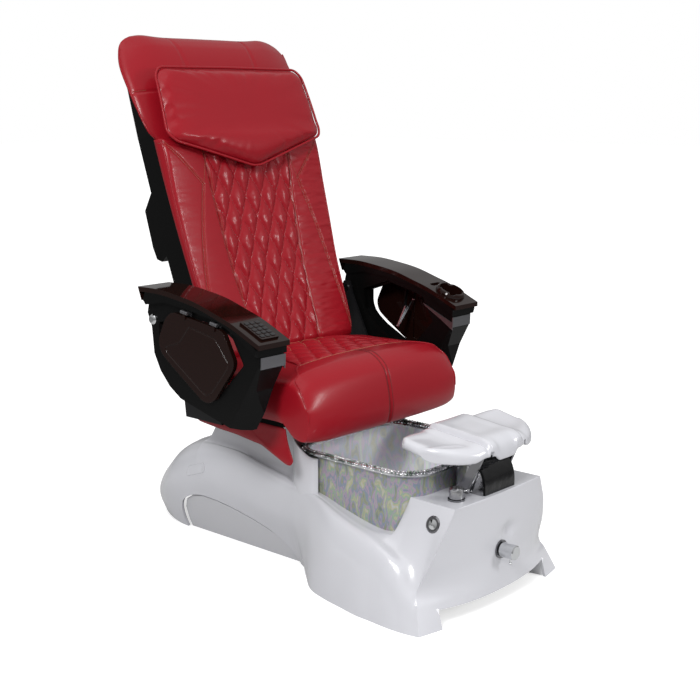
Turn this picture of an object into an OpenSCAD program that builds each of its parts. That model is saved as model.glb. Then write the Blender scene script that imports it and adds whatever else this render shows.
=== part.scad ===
// Pedicure spa chair: moulded base with a foot basin, a sliding seat, a reclining massage back and lift-up arms.
// Millimetres. The floor is z = 0, the chair faces -Y and the sitter's left is +X.

/* [Base] */
// Front face of the base, measured from the middle of the floor print
base_front = 606; // [596:2:640]
// Rearmost point of the tail
tail_reach = 668; // [660:2:700]
// Height of the control box top
box_top = 300; // [292:1:312]
// Thickness of the moulded shell
shell_wall = 8; // [6:0.5:10]
// Height of the pedestal that carries the seat
riser_top = 400; // [396:1:410]
// Half-width of the pedestal
riser_half = 168; // [160:1:172]
// Height of the toe gap under the front
notch_h = 36; // [20:1:50]

/* [Foot basin] */
// Half-width of the basin body
tub_half = 205; // [195:1:206]
// Front wall of the basin, from the middle
tub_front = 490; // [480:1:494]
// Rear wall of the basin, from the middle
tub_rear = 78; // [74:1:100]
// Radius of the basin's corners
tub_corner = 78; // [60:1:90]
// Height of the rolled rim
rim_top = 366; // [350:1:372]
// Reach of the rim past the wall
rim_over = 12; // [8:1:16]
// Basin wall
tub_wall = 6; // [4:0.5:8]
// Underside of the basin
tub_bottom = 112; // [100:1:130]

/* [Controls] */
// Diameter of the mixer knob
knob_d = 38; // [30:1:42]
// Height of the mixer knob
knob_h = 28; // [20:1:34]
// Diameter of the air button's bezel
bezel_d = 44; // [38:1:48]
// Travel of the air button
button_travel = 4; // [2:0.5:6]
// Diameter of the fill valve's flange
valve_d = 49; // [42:1:54]
// Diameter of the fill valve's handle
valve_knob_d = 39; // [30:1:41]
// Length of the fill valve's handle
valve_knob_l = 45; // [36:1:46]
// Width of the waterfall spout
spout_w = 140; // [120:2:160]
// Radius of the spout's round cover
spout_r = 88; // [80:1:92]

/* [Foot rest] */
// Half-width of the foot rest
rest_half = 216; // [190:2:230]
// Thickness of the foot rest's pads
rest_thick = 26; // [18:1:30]

/* [Seat] */
// Half-width of the seat cushion
seat_half = 312; // [300:1:318]
// Top of the seat cushion at its front
seat_top = 603; // [590:1:606]
// Front of the seat cushion
seat_front = 248; // [235:1:260]
// Rear of the seat cushion
seat_rear = 158; // [140:1:164]
// Thickness of the seat pan
pan_thick = 16; // [12:1:20]
// Height of the rails on the pedestal
rail_h = 14; // [10:1:18]

/* [Back] */
// Lean of the back when upright, degrees from the vertical
back_lean = 17.74; // [16:0.25:20]
// Thickness of the back cushion
back_thick = 40; // [34:1:42]
// Depth of the hard shell behind the cushion
shell_depth = 118; // [114:1:140]
// Height of the shoulder line along the slope
shoulder_h = 616; // [606:1:626]
// Height of the head piece's top along the slope
head_h = 926; // [915:1:934]
// Thickness of the pillow
pillow_thick = 44; // [36:1:50]
// Width of one quilted diamond
diamond_w = 62; // [50:1:70]
// Depth of the sewn channels
tuft_depth = 8; // [4:1:12]

/* [Arms] */
// Inner face of an arm
arm_in = 352; // [350:1:358]
// Outer face of an arm's body
arm_out = 440; // [430:1:444]
// Overhang of the cap and head band past the body
cap_over = 15; // [8:1:18]
// Thickness of the lacquered cap
cap_thick = 13; // [10:1:16]
// Thickness of the side tray
tray_thick = 14; // [10:1:16]
// Diameter of the arm's pivot pin
pivot_d = 20; // [16:1:24]
// Inner diameter of the cup holder
cup_d = 70; // [64:1:76]

/* [Mechanism] */
// Clearance between faces that only lie against each other
fit = 0.3; // [0.2:0.05:0.5]
// Radial clearance of a running fit
run_fit = 0.05; // [0.03:0.01:0.09]
// Diameter of the recline pins
hinge_d = 16; // [12:1:20]
// Radius of a massage roller
roller_r = 22; // [16:1:23]

/* [Hidden] */
$fn = 48;
eps = 0.01;

// ---- shared forms ----

// Place of u among the keys [[u, value], ...]
function key_at(k, u, i = 1) = i >= len(k) - 1 || u <= k[i][0] ? i : key_at(k, u, i + 1);
function tangent(k, i) =
  let (a = max(i - 1, 0), b = min(i + 1, len(k) - 1)) (k[b][1] - k[a][1]) / (k[b][0] - k[a][0]);
// Smooth value through the keys at u; a value is a number, a point or a row of points
function guide(k, u) =
  let (i = key_at(k, u), p = k[i - 1], q = k[i], w = q[0] - p[0],
       t = min(max((u - p[0]) / w, 0), 1))
  (2 * t^3 - 3 * t^2 + 1) * p[1] + (t^3 - 2 * t^2 + t) * w * tangent(k, i - 1)
  + (3 * t^2 - 2 * t^3) * q[1] + (t^3 - t^2) * w * tangent(k, i);
function steps(a, b, n) = [for (i = [0:n]) a + (b - a) * i / n];
function flat(rows) = [for (r = rows) each r];

// Triangles of one wall cell; with `quilt` set the split follows the sewn lines
function cell(a, b, n, turn) = turn ? [[a, b, b + n], [a, b + n, a + n]] : [[a, b, a + n],
  [b, b + n, a + n]];
function wall(m, n, quilt) = [for (i = [0:m - 2], j = [0:n - 1])
  let (a = i * n + j, b = i * n + (j + 1) % n) each cell(a, b, n, quilt >= 0 && (i + j) % 2 == quilt)];
function flip(faces, turned) = turned ? [for (f = faces) [for (k = [len(f) - 1:-1:0]) f[k]]] : faces;

// Closed loft through rings of equal count, each running the same way; its ends are filled
module loft(rings, turned = false, quilt = -1) {
  n = len(rings[0]);
  m = len(rings);
  polyhedron(flat(rings), flip(concat(wall(m, n, quilt), [[for (j = [n - 1:-1:0]) j]],
    [[for (j = [0:n - 1]) (m - 1) * n + j]]), turned), convexity = 8);
}

// Loft whose ends are domed to a middle point instead of filled flat
module domed_loft(rings, foot, crown, turned = false, quilt = -1) {
  n = len(rings[0]);
  m = len(rings);
  polyhedron(concat(flat(rings), [foot, crown]), flip(concat(wall(m, n, quilt),
    [for (j = [0:n - 1]) [(j + 1) % n, j, m * n]],
    [for (j = [0:n - 1]) [(m - 1) * n + j, (m - 1) * n + (j + 1) % n, m * n + 1]]), turned), convexity = 8);
}

// Rounded rectangle with its corners at radius r, k steps to a corner
function round_rect(x0, x1, y0, y1, r, k = 5) =
  [for (c = [[x1 - r, y1 - r, 0], [x0 + r, y1 - r, 90], [x0 + r, y0 + r, 180], [x1 - r, y0 + r, 270]],
        i = [0:k]) [c[0] + r * cos(c[2] + 90 * i / k), c[1] + r * sin(c[2] + 90 * i / k)]];
function at_z(pts, z) = [for (p = pts) [p[0], p[1], z]];

module both() {
  children();
  mirror([1, 0, 0]) children();
}
// A child drawn for the left arm, mirrored for the right one
module side(s) {
  if (s > 0) children();
  else mirror([1, 0, 0]) children();
}
// Outline in the y-z plane, extruded from x0 to x1
module slab(x0, x1) translate([x0, 0, 0]) rotate([90, 0, 90]) linear_extrude(x1 - x0) children();
// Cylinder along x or y, by its ends
module rod_x(x0, x1, d, y, z) translate([x0, y, z]) rotate([0, 90, 0]) cylinder(d = d, h = x1 - x0);
module rod_y(y0, y1, d, x, z) translate([x, y0, z]) rotate([-90, 0, 0]) cylinder(d = d, h = y1 - y0);
module rounded(r) offset(r) offset(-r) children();

// ---- base shell ----
// A half section is 8 points from the floor to the middle line: foot, wall, flank, crest,
// valley, upper foot, top edge and centre, each [x, z].

deck_rows = [
  [-440, [[314, 0], [308, 60], [298, 130], [280, 182], [250, 192], [226, 204], [208, 207], [0, 207]]],
  [-395, [[312, 0], [306, 65], [296, 140], [276, 194], [246, 203], [226, 203], [208, 203], [0, 203]]],
  [-330, [[300, 0], [296, 70], [288, 150], [268, 208], [242, 214], [222, 213], [208, 213], [0, 213]]],
  [-260, [[286, 0], [283, 75], [276, 160], [258, 226], [234, 232], [220, 231], [208, 230], [0, 230]]],
  [-190, [[262, 0], [258, 80], [252, 165], [238, 242], [224, 250], [216, 251], [208, 250], [0, 250]]],
  [-120, [[206, 0], [214, 80], [224, 165], [224, 240], [216, 258], [208, 261], [200, 261], [0, 261]]],
  [-66, [[158, 0], [184, 80], [210, 160], [215, 238], [206, 260], [194, 265], [182, 266], [0, 266]]]
];
hump_rows = [
  [-40, [[144, 0], [176, 80], [206, 160], [213, 241], [201, 266], [riser_half + 9, 280],
    [riser_half, riser_top], [0, riser_top]]],
  [60, [[137, 0], [172, 82], [204, 165], [210, 255], [198, 283], [riser_half + 8, 292],
    [riser_half, riser_top], [0, riser_top]]],
  [150, [[137, 0], [174, 90], [207, 185], [212, 277], [198, 301], [riser_half + 8, 308],
    [riser_half, riser_top], [0, riser_top]]],
  [250, [[139, 0], [178, 92], [211, 190], [211, 278], [196, 303], [riser_half + 6, 311],
    [riser_half - 3, riser_top], [0, riser_top]]]
];
tail_rows = [
  [318, [[141, 0], [181, 92], [209, 184], [207, 264], [188, 293], [170, 303], [150, 309], [0, 312]]],
  [400, [[147, 0], [184, 85], [203, 165], [195, 232], [170, 263], [144, 275], [112, 281], [0, 286]]],
  [464, [[144, 0], [177, 78], [192, 145], [180, 200], [150, 232], [118, 244], [86, 250], [0, 255]]],
  [520, [[136, 6], [162, 68], [170, 120], [156, 165], [126, 193], [96, 204], [68, 209], [0, 213]]],
  [575, [[116, 14], [136, 60], [138, 100], [122, 135], [96, 157], [72, 166], [50, 170], [0, 173]]],
  [622, [[80, 22], [97, 54], [98, 80], [85, 106], [64, 121], [46, 127], [30, 130], [0, 132]]],
  [tail_reach, [[18, 34], [22, 48], [22, 60], [19, 72], [14, 78], [10, 81], [6, 82], [0, 83]]]
];
// The control box: its rear edge, its middle and its front corner, whose points stand at their own depths
box_rows = [
  [-base_front, [[308, 0], [288, 60], [268, 118], [244, 162], [222, 216], [206, 256], [188, box_top],
    [0, box_top]]],
  [-560, [[316, 0], [309, 60], [293, 108], [272, 136], [240, 166], [212, 232], [187, box_top],
    [0, box_top]]],
  [-510, [[318, 0], [312, 62], [300, 122], [282, 154], [240, 170], [212, 230], [186, box_top],
    [0, box_top]]],
  [-468, [[316, 0], [310, 62], [300, 128], [282, 170], [242, 180], [214, 228], [184, box_top],
    [0, box_top]]]
];
corner_back = [8, 16, 47, 24, -2, -3, 0, -6];
face_bow = 12;
tail_draw = 0.35; // share of the wall by which the tail's end is drawn in, so that the inlet lies within it

// Full ring from a half row: across the foot, up the +x side and down the -x side
function ring(row, y, back = [0, 0, 0, 0, 0, 0, 0, 0], inset = 0) =
  let (keys = [for (i = [0:7]) [i, [row[i][0], row[i][1], back[i]]]],
       half = [for (j = [0:0.5:7]) j <= 5 ? guide(keys, j) : (keys[floor(j)][1] + keys[ceil(j)][1]) / 2],
       last = len(half) - 1,
       pts = [for (j = [0:last]) [j == last ? 0 : max(half[j][0] - inset, 2),
                                  half[j][1] - (j == 0 ? 0 : inset * min(j / 6, 1)), half[j][2]]])
  concat([for (j = [0:last]) [pts[j][0], y + pts[j][2], pts[j][1]]],
         [for (j = [last - 1:-1:0]) [-pts[j][0], y + pts[j][2], pts[j][1]]]);
function rows_at(rows, n) = [for (u = steps(rows[0][0], rows[len(rows) - 1][0], n)) [u, guide(rows, u)]];
// The face of the base bows forward of its corners
function face_ring(scale_x, y, inset) =
  [for (p = ring(box_rows[0][1], 0, corner_back, inset))
    [p[0] * scale_x, y, max(p[2], 0) * (p[2] > 150 ? 0.98 : 1)]];

function skin(inset) =
  let (d = inset)
  concat(
    [face_ring(0.9, -base_front - face_bow + d, d)],
    [ring(box_rows[0][1], box_rows[0][0] + d, corner_back, d)],
    [for (i = [1:3]) ring(box_rows[i][1], box_rows[i][0] - (i == 3 ? d : 0), inset = d)],
    [for (r = rows_at(deck_rows, 9)) ring(r[1], r[0] + (r[0] > -100 ? d : -d * (r[0] < -430 ? 1 : 0)),
      inset = d)],
    [for (r = rows_at(hump_rows, 4)) ring(r[1], r[0] + (r[0] < 0 ? d : r[0] > 200 ? -d : 0), inset = d)],
    [for (r = rows_at(tail_rows, 8)) ring(r[1], r[0] - d * (r[0] > 600 ? 2 : 1),
      inset = d * (r[0] > 650 ? tail_draw : 1))]);

// Open-bottomed shell between an outer and an inner skin, joined by the rim on the floor
module cup(outer, inner) {
  n = len(outer[0]);
  m = len(outer);
  k = n * m;
  side_faces = [for (i = [0:m - 2], j = [0:n - 2]) let (a = i * n + j)
    each [[a, a + 1, a + n], [a + 1, a + n + 1, a + n],
          [k + a + 1, k + a, k + a + n], [k + a + n + 1, k + a + 1, k + a + n]]];
  rim = [for (i = [0:m - 2]) let (a = i * n, b = a + n, c = a + n - 1, d = c + n)
    each [[a, b, k + a], [b, k + b, k + a], [d, c, k + c], [d, k + c, k + d]]];
  last = (m - 1) * n;
  ends = [[for (j = [n - 1:-1:0]) j], [for (j = [0:n - 1]) k + j],
          [for (j = [0:n - 1]) last + j], [for (j = [n - 1:-1:0]) k + last + j],
          [0, k, n - 1], [k, k + n - 1, n - 1],
          [last, last + n - 1, k + last], [last + n - 1, k + last + n - 1, k + last]];
  polyhedron(concat(flat(outer), flat(inner)), concat(side_faces, rim, ends), convexity = 10);
}

// Service opening in each flank, under an arch, and the plane its cover lies in
arch_pts = [[430, -30], [432, 30], [424, 78], [404, 112], [366, 135], [318, 146], [262, 144],
            [204, 134], [146, 119], [92, 104], [40, 84], [-6, 52], [-34, 12], [-44, -30]];
panel_lean = 23;
panel_foot = 136;
panel_thick = 6;
module arch(grow) offset(grow) polygon(arch_pts);
// Places a child drawn in the y-z plane, thickness towards +x, on the leaning plane of the cover
module on_flank() translate([panel_foot, 0, 0]) rotate([0, panel_lean, 0]) children();

// The button's place on the box's flank, its axis square to the wall
button_at = [203.5, -557, 253];
button_tilt = 20;
button_seat = 3;
module on_box_flank() translate(button_at) rotate([0, 90 - button_tilt, 0]) children();
// The valve's place on the front face
valve_z = 147;
valve_seat_y = -base_front - 8;
module on_face() translate([4, valve_seat_y, valve_z]) rotate([90, 0, 0]) children();
knob_at = [-125, -568];
inlet_z = 62;
inlet_w = 30;
inlet_h = 24;

module tub_plan(grow, y_lift = 0)
  polygon(round_rect(-tub_half - grow, tub_half + grow, -tub_front - grow, -tub_rear + grow,
    tub_corner + grow, 12));

module base_shell() color("white") difference() {
  cup(skin(0), skin(shell_wall));
  translate([0, 0, tub_bottom]) linear_extrude(box_top) tub_plan(tub_taper + fit);
  both() on_flank() slab(-60, 60) arch(0);
  translate([-232, -base_front - 40, -1]) cube([464, 90, notch_h + 1]);
  mirror([1, 0, 0]) on_box_flank() {
    translate([0, 0, -button_seat]) cylinder(d = bezel_d + 2 * fit, h = 20);
    translate([0, 0, -30]) cylinder(d = bezel_d - 12 + 2 * run_fit, h = 40);
  }
  on_face() {
    cylinder(d = valve_d + 2 * fit, h = 20);
    translate([0, 0, -30]) cylinder(d = 24 + 2 * run_fit, h = 40);
  }
  translate([knob_at[0], knob_at[1], box_top - 30]) cylinder(d = 20 + 2 * run_fit, h = 40);
  translate([-inlet_w / 2 - fit, tail_reach - 60, inlet_z - inlet_h / 2 - fit]) cube([inlet_w + 2 * fit,
    80, inlet_h + 2 * fit]);
}

module side_panel(s) color("gainsboro") side(s)
  on_flank() slab(-panel_thick - 1, -1) intersection() {
    arch(-fit);
    translate([-100, 0]) square([600, 200]);
  }

// ---- foot basin ----
tub_taper = 0;
tub_foot_half = 168;
function tub_ring(hw, grow, z) =
  at_z(round_rect(-hw - grow, hw + grow, -tub_front - grow + (tub_half - hw),
    -tub_rear + grow - (tub_half - hw),
                  max(tub_corner + grow - (tub_half - hw) * 0.4, 8), 7), z);
module tub() color([0.8, 0.84, 0.86]) difference() {
  loft(concat(
    [tub_ring(tub_foot_half, 0, tub_bottom), tub_ring(tub_foot_half + 14, 0, tub_bottom + 8),
     tub_ring(tub_half, 0, tub_bottom + 44), tub_ring(tub_half, 0, box_top - 60),
     tub_ring(tub_half, tub_taper, rim_top - 26), tub_ring(tub_half, rim_over - 5, rim_top - 12),
     tub_ring(tub_half, rim_over, rim_top - 7), tub_ring(tub_half, rim_over - 3, rim_top - 1.5),
     tub_ring(tub_half, rim_over - 8, rim_top), tub_ring(tub_half, -1, rim_top - 2)],
    [tub_ring(tub_half, tub_taper - tub_wall, rim_top - 12),
     tub_ring(tub_half, -tub_wall, box_top - 60), tub_ring(tub_half, -tub_wall, tub_bottom + 50),
     tub_ring(tub_foot_half + 14, -tub_wall, tub_bottom + 15),
       tub_ring(tub_foot_half, -tub_wall, tub_bottom + tub_wall + 2)]),
    turned = true);
  translate([0, drain_y, tub_bottom - 5]) cylinder(d = drain_d + 2 * run_fit, h = 30);
}
drain_y = -285;
drain_d = 38;
module tub_drain() color("silver") translate([0, drain_y, 0]) difference() {
  union() {
    translate([0, 0, tub_bottom + tub_wall + 2]) cylinder(d = drain_d + 22, h = 3);
    translate([0, 0, tub_bottom - 34]) cylinder(d = drain_d, h = tub_wall + 37);
  }
  for (a = [0:60:300]) rotate(a) translate([10, 0, tub_bottom - 20]) cylinder(d = 5, h = 60);
}
// Frame of welded tube that carries the basin on the floor
module tub_cradle() color("dimgray") {
  tube = 20;
  both() for (y = [-tub_front + 90, -tub_rear - 90])
    translate([tub_foot_half - 50, y - tube / 2, 0]) cube([tube, tube, tub_bottom - tube]);
  for (y = [-tub_front + 90, -tub_rear - 90])
    translate([-tub_foot_half + 30, y - tube / 2, tub_bottom - tube]) cube([2 * tub_foot_half - 60, tube,
      tube]);
}

// Whirlpool jet on the basin's rear wall, driven through the wall by a magnet
jet_z = 206;
jet_d = 80;
jet_y = -tub_rear - tub_wall;
module on_jet() translate([0, jet_y, jet_z]) rotate([90, 0, 0]) children();
module jet_housing() color("white") on_jet() difference() {
  cylinder(d = jet_d, h = 24);
  difference() {
    translate([0, 0, 6]) cylinder(d = jet_d - 16, h = 30);
    cylinder(d = 6, h = 22);
  }
}
module jet_impeller() color("gray") on_jet() translate([0, 0, 7]) difference() {
  union() {
    cylinder(d = 18, h = 14);
    for (a = [0:60:300]) rotate(a) translate([8, -1.5, 0]) cube([jet_d / 2 - 18, 3, 11]);
  }
  translate([0, 0, -1]) cylinder(d = 6 + 2 * run_fit, h = 20);
}
module jet_motor() color("black") translate([0, -tub_rear + fit, jet_z]) rotate([-90, 0, 0]) {
  cylinder(d = 66, h = 18);
  translate([0, 0, 18]) cylinder(d = 50, h = 60);
}

// ---- spout ----
spout_y = -518;
spout_x = 12;
spout_z = box_top + 18;
spout_plate = 5;
module quarter(r, grow = 0) intersection() {
  circle(r = r);
  translate([-r - 1, -grow]) square([r + 1, r + 2 + grow]);
}
module spout_profile(r) {
  quarter(r);
  translate([-r, box_top - spout_z]) square([r, spout_z - box_top]);
}
module spout_body() color("silver") translate([spout_x, spout_y, spout_z]) difference() {
  slab(-spout_w / 2, spout_w / 2) spout_profile(spout_r - 4);
  slab(-spout_w / 2 + spout_plate, spout_w / 2 - spout_plate)
    translate([-spout_r + 22, box_top - spout_z + 12]) square([spout_r, spout_r - 26]);
}
module spout_cover() color("black") translate([spout_x, spout_y, spout_z])
  slab(-spout_w / 2 + spout_plate, spout_w / 2 - spout_plate) difference() {
    spout_profile(spout_r);
    spout_profile(spout_r - 4 + 0.05);
    translate([-1, -50]) square([spout_r, 200]);
  }

// ---- controls ----
module mixer_flange() color("silver") translate([knob_at[0], knob_at[1], box_top]) difference() {
  union() {
    cylinder(d = knob_d + 6, h = 5);
    translate([0, 0, -20]) cylinder(d = 20, h = 21);
  }
  translate([0, 0, -21]) cylinder(d = 10 + 2 * run_fit, h = 40);
}
module mixer_knob() color("silver") translate([knob_at[0], knob_at[1], box_top + 5 + fit]) {
  rotate_extrude() polygon([[0, 0], [knob_d / 2 - 1, 0], [knob_d / 2, 1], [knob_d / 2, knob_h - 3],
                            [knob_d / 2 - 3, knob_h], [0, knob_h]]);
  translate([0, 0, -18]) cylinder(d = 10, h = 19);
  rotate([0, 90, -18]) translate([-knob_h / 2, 0, knob_d / 2 - 2]) cylinder(d = 5, h = 16);
  rotate([0, 90, -18]) translate([-knob_h / 2, 0, knob_d / 2 + 14]) sphere(d = 8);
}
module button_bezel() color("silver") mirror([1, 0, 0]) on_box_flank() difference() {
  union() {
    translate([0, 0, -button_seat]) rotate_extrude()
      polygon([[0, 0], [bezel_d / 2, 0], [bezel_d / 2, button_seat + 1],
        [bezel_d / 2 - 4, button_seat + 4], [0, button_seat + 4]]);
    translate([0, 0, -24]) cylinder(d = bezel_d - 12, h = 22);
  }
  translate([0, 0, -20]) cylinder(d = bezel_d - 18 + 2 * run_fit, h = 40);
}
module air_button() color("silver") mirror([1, 0, 0]) on_box_flank() translate([0, 0,
  -20 + button_travel + 0.5])
  rotate_extrude() polygon([[0, 0], [bezel_d / 2 - 9, 0], [bezel_d / 2 - 9, 19], [4, 22], [0, 22.5]]);
module valve_flange() color("silver") on_face() difference() {
  union() {
    cylinder(d = valve_d, h = 8);
    translate([0, 0, -26]) cylinder(d = 24, h = 27);
  }
  translate([0, 0, -27]) cylinder(d = 12 + 2 * run_fit, h = 40);
}
module valve_handle() color("silver") on_face() translate([0, 0, 8 + fit]) {
  rotate_extrude() polygon([[0, 0], [valve_knob_d / 2 - 3, 0], [valve_knob_d / 2, 3],
    [valve_knob_d / 2, valve_knob_l - 3],
                            [valve_knob_d / 2 - 3, valve_knob_l], [0, valve_knob_l]]);
  translate([0, 0, -20]) cylinder(d = 12, h = 21);
  rotate([90, 0, 0]) translate([0, valve_knob_l * 0.6, valve_knob_d / 2 - 2]) cylinder(d = 5, h = 14);
  translate([0, -valve_knob_d / 2 - 13, valve_knob_l * 0.6]) sphere(d = 8);
}

// ---- foot rest ----
rest_axis = [-600, 414];
rest_pin_d = 10;
rest_rear = -418;
// Plan and section of the one-piece double pad: half-width, front edge, rear edge and top along x
rest_rows = [
  [0, [-636, -412, 456]], [66, [-634, -410, 455]], [78, [-630, -412, 446]], [110, [-628, -416, 441]],
  [160, [-618, -428, 441]], [196, [-596, -446, 443]], [rest_half, [-556, -482, 440]]
];
leg_x = [spout_x - spout_w / 2 - 10, spout_x + spout_w / 2 + 2];
module footrest_bracket() color("silver") for (x = leg_x) difference() {
  slab(x, x + 8) {
    polygon([[-560, box_top], [-520, box_top], [rest_axis[0] + 10, rest_axis[1] - 3],
      [rest_axis[0] - 10, rest_axis[1] - 3]]);
    translate(rest_axis) circle(r = 10);
  }
  rod_x(x - 1, x + 9, rest_pin_d + 2 * run_fit, rest_axis[0], rest_axis[1]);
}
function rest_ring(x) =
  let (v = guide(rest_rows, abs(x)), f = v[0], r = v[1], top = v[2], mid = (f + r) / 2,
       low = top - rest_thick + (abs(x) < 72 ? 2 : 0))
  [[x, r, low + 6], [x, r + 1, low + 13], [x, r - 8, top - 4], [x, r - 26, top], [x, mid, top + 1],
   [x, f + 40, top - 2], [x, f + 16, top - 9], [x, f + 3, top - 18], [x, f, low + 2], [x, f + 6, low - 4],
   [x, f + 16, low], [x, mid, low], [x, r - 10, low + 1]];
module footrest_pad() color("white") {
  difference() {
    loft([for (x = concat(steps(-rest_half, -82, 5), [-76, -66], steps(-40, 40, 2), [66, 76],
      steps(82, rest_half, 5)))
           rest_ring(x)], turned = true);
    // slots in which the legs turn
    for (x = leg_x) slab(x - 2, x + 10) translate(rest_axis) {
      circle(r = 14);
      translate([-60, -30]) square([60, 40]);
      translate([0, -30]) square([30, 30]);
    }
  }
  // knuckles and the pin they hold
  for (x = [leg_x[0] + 8 + fit, leg_x[1] - 12 - fit]) slab(x, x + 12) {
    translate(rest_axis) circle(r = 8);
    translate([rest_axis[0] - 8, rest_axis[1]]) square([16, 14]);
  }
  rod_x(leg_x[0] - 3, leg_x[1] + 11, rest_pin_d, rest_axis[0], rest_axis[1]);
}

// ---- inside the base ----
module pump_motor() color("darkslategray") {
  translate([-129.3, 150, 0]) cube([258.6, 60, 8]);
  translate([-30, 150, 7]) cube([60, 60, 20]);
  rod_y(110, 260, 96, 0, 60);
  translate([0, 96, 60]) rotate([-90, 0, 0]) cylinder(d = 60, h = 15);
}
module power_inlet() color("black")
  translate([-inlet_w / 2, tail_reach - 50, inlet_z - inlet_h / 2]) difference() {
    cube([inlet_w, 36, inlet_h]);
    translate([5, 16, 5]) cube([inlet_w - 10, 30, inlet_h - 10]);
  }

// ---- seat slide ----
rail_x = 118;
rail_y0 = -28;
rail_y1 = 246;
rail_top = riser_top + rail_h;
shoe_y0 = 26;
shoe_y1 = 196;
pan_z = rail_top + 30;
module seat_rails() color("dimgray") both() difference() {
  translate([rail_x - 24, rail_y0, riser_top]) cube([48, rail_y1 - rail_y0, rail_h]);
  translate([rail_x - 25, rail_y0 - 1, riser_top + 4]) cube([13, rail_y1 - rail_y0 + 2, rail_h]);
  translate([rail_x + 12, rail_y0 - 1, riser_top + 4]) cube([13, rail_y1 - rail_y0 + 2, rail_h]);
}
bar_low = rail_top + 12;
bars = [[30, 50], [170, 196]];
module seat_carriage() color("dimgray") {
  both() {
    difference() {
      translate([rail_x - 22, shoe_y0, rail_top - 8]) cube([44, shoe_y1 - shoe_y0, 20]);
      translate([rail_x - 12 - fit, shoe_y0 - 1, rail_top - 9]) cube([24 + 2 * fit,
        shoe_y1 - shoe_y0 + 2, 9 + fit]);
    }
    // plates that carry the arm pivots
    slab(post_in, post_in + post_thick) difference() {
      polygon([[60, bar_low], [206, bar_low], [arm_pivot[0] + 14, arm_pivot[1] - 100],
        [arm_pivot[0] + 20, arm_pivot[1]],
               [arm_pivot[0] + 12, arm_pivot[1] + 20], [arm_pivot[0] - 12, arm_pivot[1] + 20],
                 [arm_pivot[0] - 24, arm_pivot[1] - 20]]);
      translate(arm_pivot) circle(d = pivot_d + 2 * run_fit);
    }
    // ears that carry the recline pins
    slab(ear_x, ear_x + ear_thick) difference() {
      union() {
        polygon([[172, bar_low + 10], [222, bar_low + 10], [hinge_at[0] + 17, hinge_at[1]],
          [hinge_at[0] - 17, hinge_at[1]]]);
        translate(hinge_at) circle(r = 17);
      }
      translate(hinge_at) circle(d = hinge_d + 2 * run_fit);
    }
  }
  for (b = bars) translate([-post_in, b[0], bar_low]) cube([2 * post_in, b[1] - b[0], pan_z - bar_low]);
  translate([-ear_x - ear_thick, 170, pan_z - 1]) cube([2 * (ear_x + ear_thick), 26, 12]);
  translate([slide_x - 12, bars[0][0], slide_z - 6]) difference() {
    cube([24, bars[0][1] - bars[0][0], bar_low - slide_z + 7]);
    translate([12, -1, 6]) rotate([-90, 0, 0]) cylinder(d = 10 + 2 * run_fit, h = 40);
  }
}
post_in = 334;
post_thick = 8;
arm_pivot = [214, 712];
hinge_at = [206, 560];
ear_x = 248;
ear_thick = 12;
// Motor that moves the seat: its barrel stays on the pedestal, its rod is pinned to the carriage
slide_x = -50;
slide_y0 = 150;
slide_z = riser_top + 12;
module slide_barrel() color("gray") difference() {
  union() {
    rod_y(slide_y0, slide_y0 + 112, 22, slide_x, slide_z);
    translate([slide_x - 14, slide_y0 + 8, riser_top]) cube([28, 20, 8]);
    translate([slide_x - 14, slide_y0 + 80, riser_top]) cube([28, 20, 8]);
  }
  rod_y(slide_y0 - 1, slide_y0 + 113, 10 + 2 * run_fit, slide_x, slide_z);
}
module slide_rod() color("silver") rod_y(bars[0][0] - 4, slide_y0 + 56, 10, slide_x, slide_z);
// Gear motor beside the recline hinge
module recline_motor() color("gray") {
  translate([ear_x - 60, 172, pan_z + 12]) cube([44, 24, 30]);
  rod_x(ear_x - 16, ear_x, 44, 186, 500);
  translate([ear_x - 60, 172, pan_z + 40]) cube([44, 24, 30]);
}

module seat_pan() color("black") slab(-seat_half + 14, seat_half - 14) rounded(4)
  polygon([[-pan_front, pan_z], [150, pan_z], [150, pan_z + pan_thick], [-pan_front, pan_z + pan_thick]]);
pan_front = 130;

// ---- seat cushion ----
seat_low = pan_z + pan_thick + fit;
quilt_half = 150;
module seat_cushion() color("firebrick") {
  xs = concat([-1, -0.985, -0.94, -0.86], [for (x = steps(-quilt_half, quilt_half,
    2 * quilt_cols)) x / seat_half], [0.86, 0.94, 0.985, 1]);
  domed_loft([for (u = xs) seat_ring(u)], [-seat_half - 2, -60, (seat_top + seat_low) / 2],
    [seat_half + 2, -60, (seat_top + seat_low) / 2]);
}
quilt_cols = 5;
seat_pull = 12; // how far the cushion's ends draw in
// Section of the seat at x = u * seat_half: the front rolls down below the pan, the top is crowned and quilted
function seat_ring(u) =
  let (x = u * seat_half, e = 1 - abs(u)^8, drop = 26 * abs(u)^3 + 18 * (1 - e),
    pull = seat_pull * abs(u)^6,
       q = abs(x) <= quilt_half ? 1 : 0, f = -seat_front + 12 * abs(u)^2 + pull, top = seat_top - drop)
  concat(
    [[x, f + 44 + pull, seat_low - 38 + pull], [x, f + 12, seat_low - 44 + pull],
      [x, f - 2 + pull * 0.2, seat_low - 8],
     [x, f, seat_low + 40], [x, f + 14, top - 44], [x, f + 34, top - 16], [x, f + 62, top - 3 + 5 * e]],
    [for (i = [0:6]) let (y = -164 + i * 40)
      [x, y, top + 6 * e - 6 * i / 6 - (q == 1 ? tuft_depth * 0.5 * (((i + round((x + quilt_half) / quilt_half * quilt_cols)) % 2 == 0) ? 1 : 0) : 0)]],
    [[x, seat_rear - 30, top - 14], [x, seat_rear - 4 * e, top - 40], [x, seat_rear - 6, seat_low + 8],
      [x, seat_rear - 20 - pull, seat_low],
     [x, 0, seat_low], [x, f + 84, seat_low]]);

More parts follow.
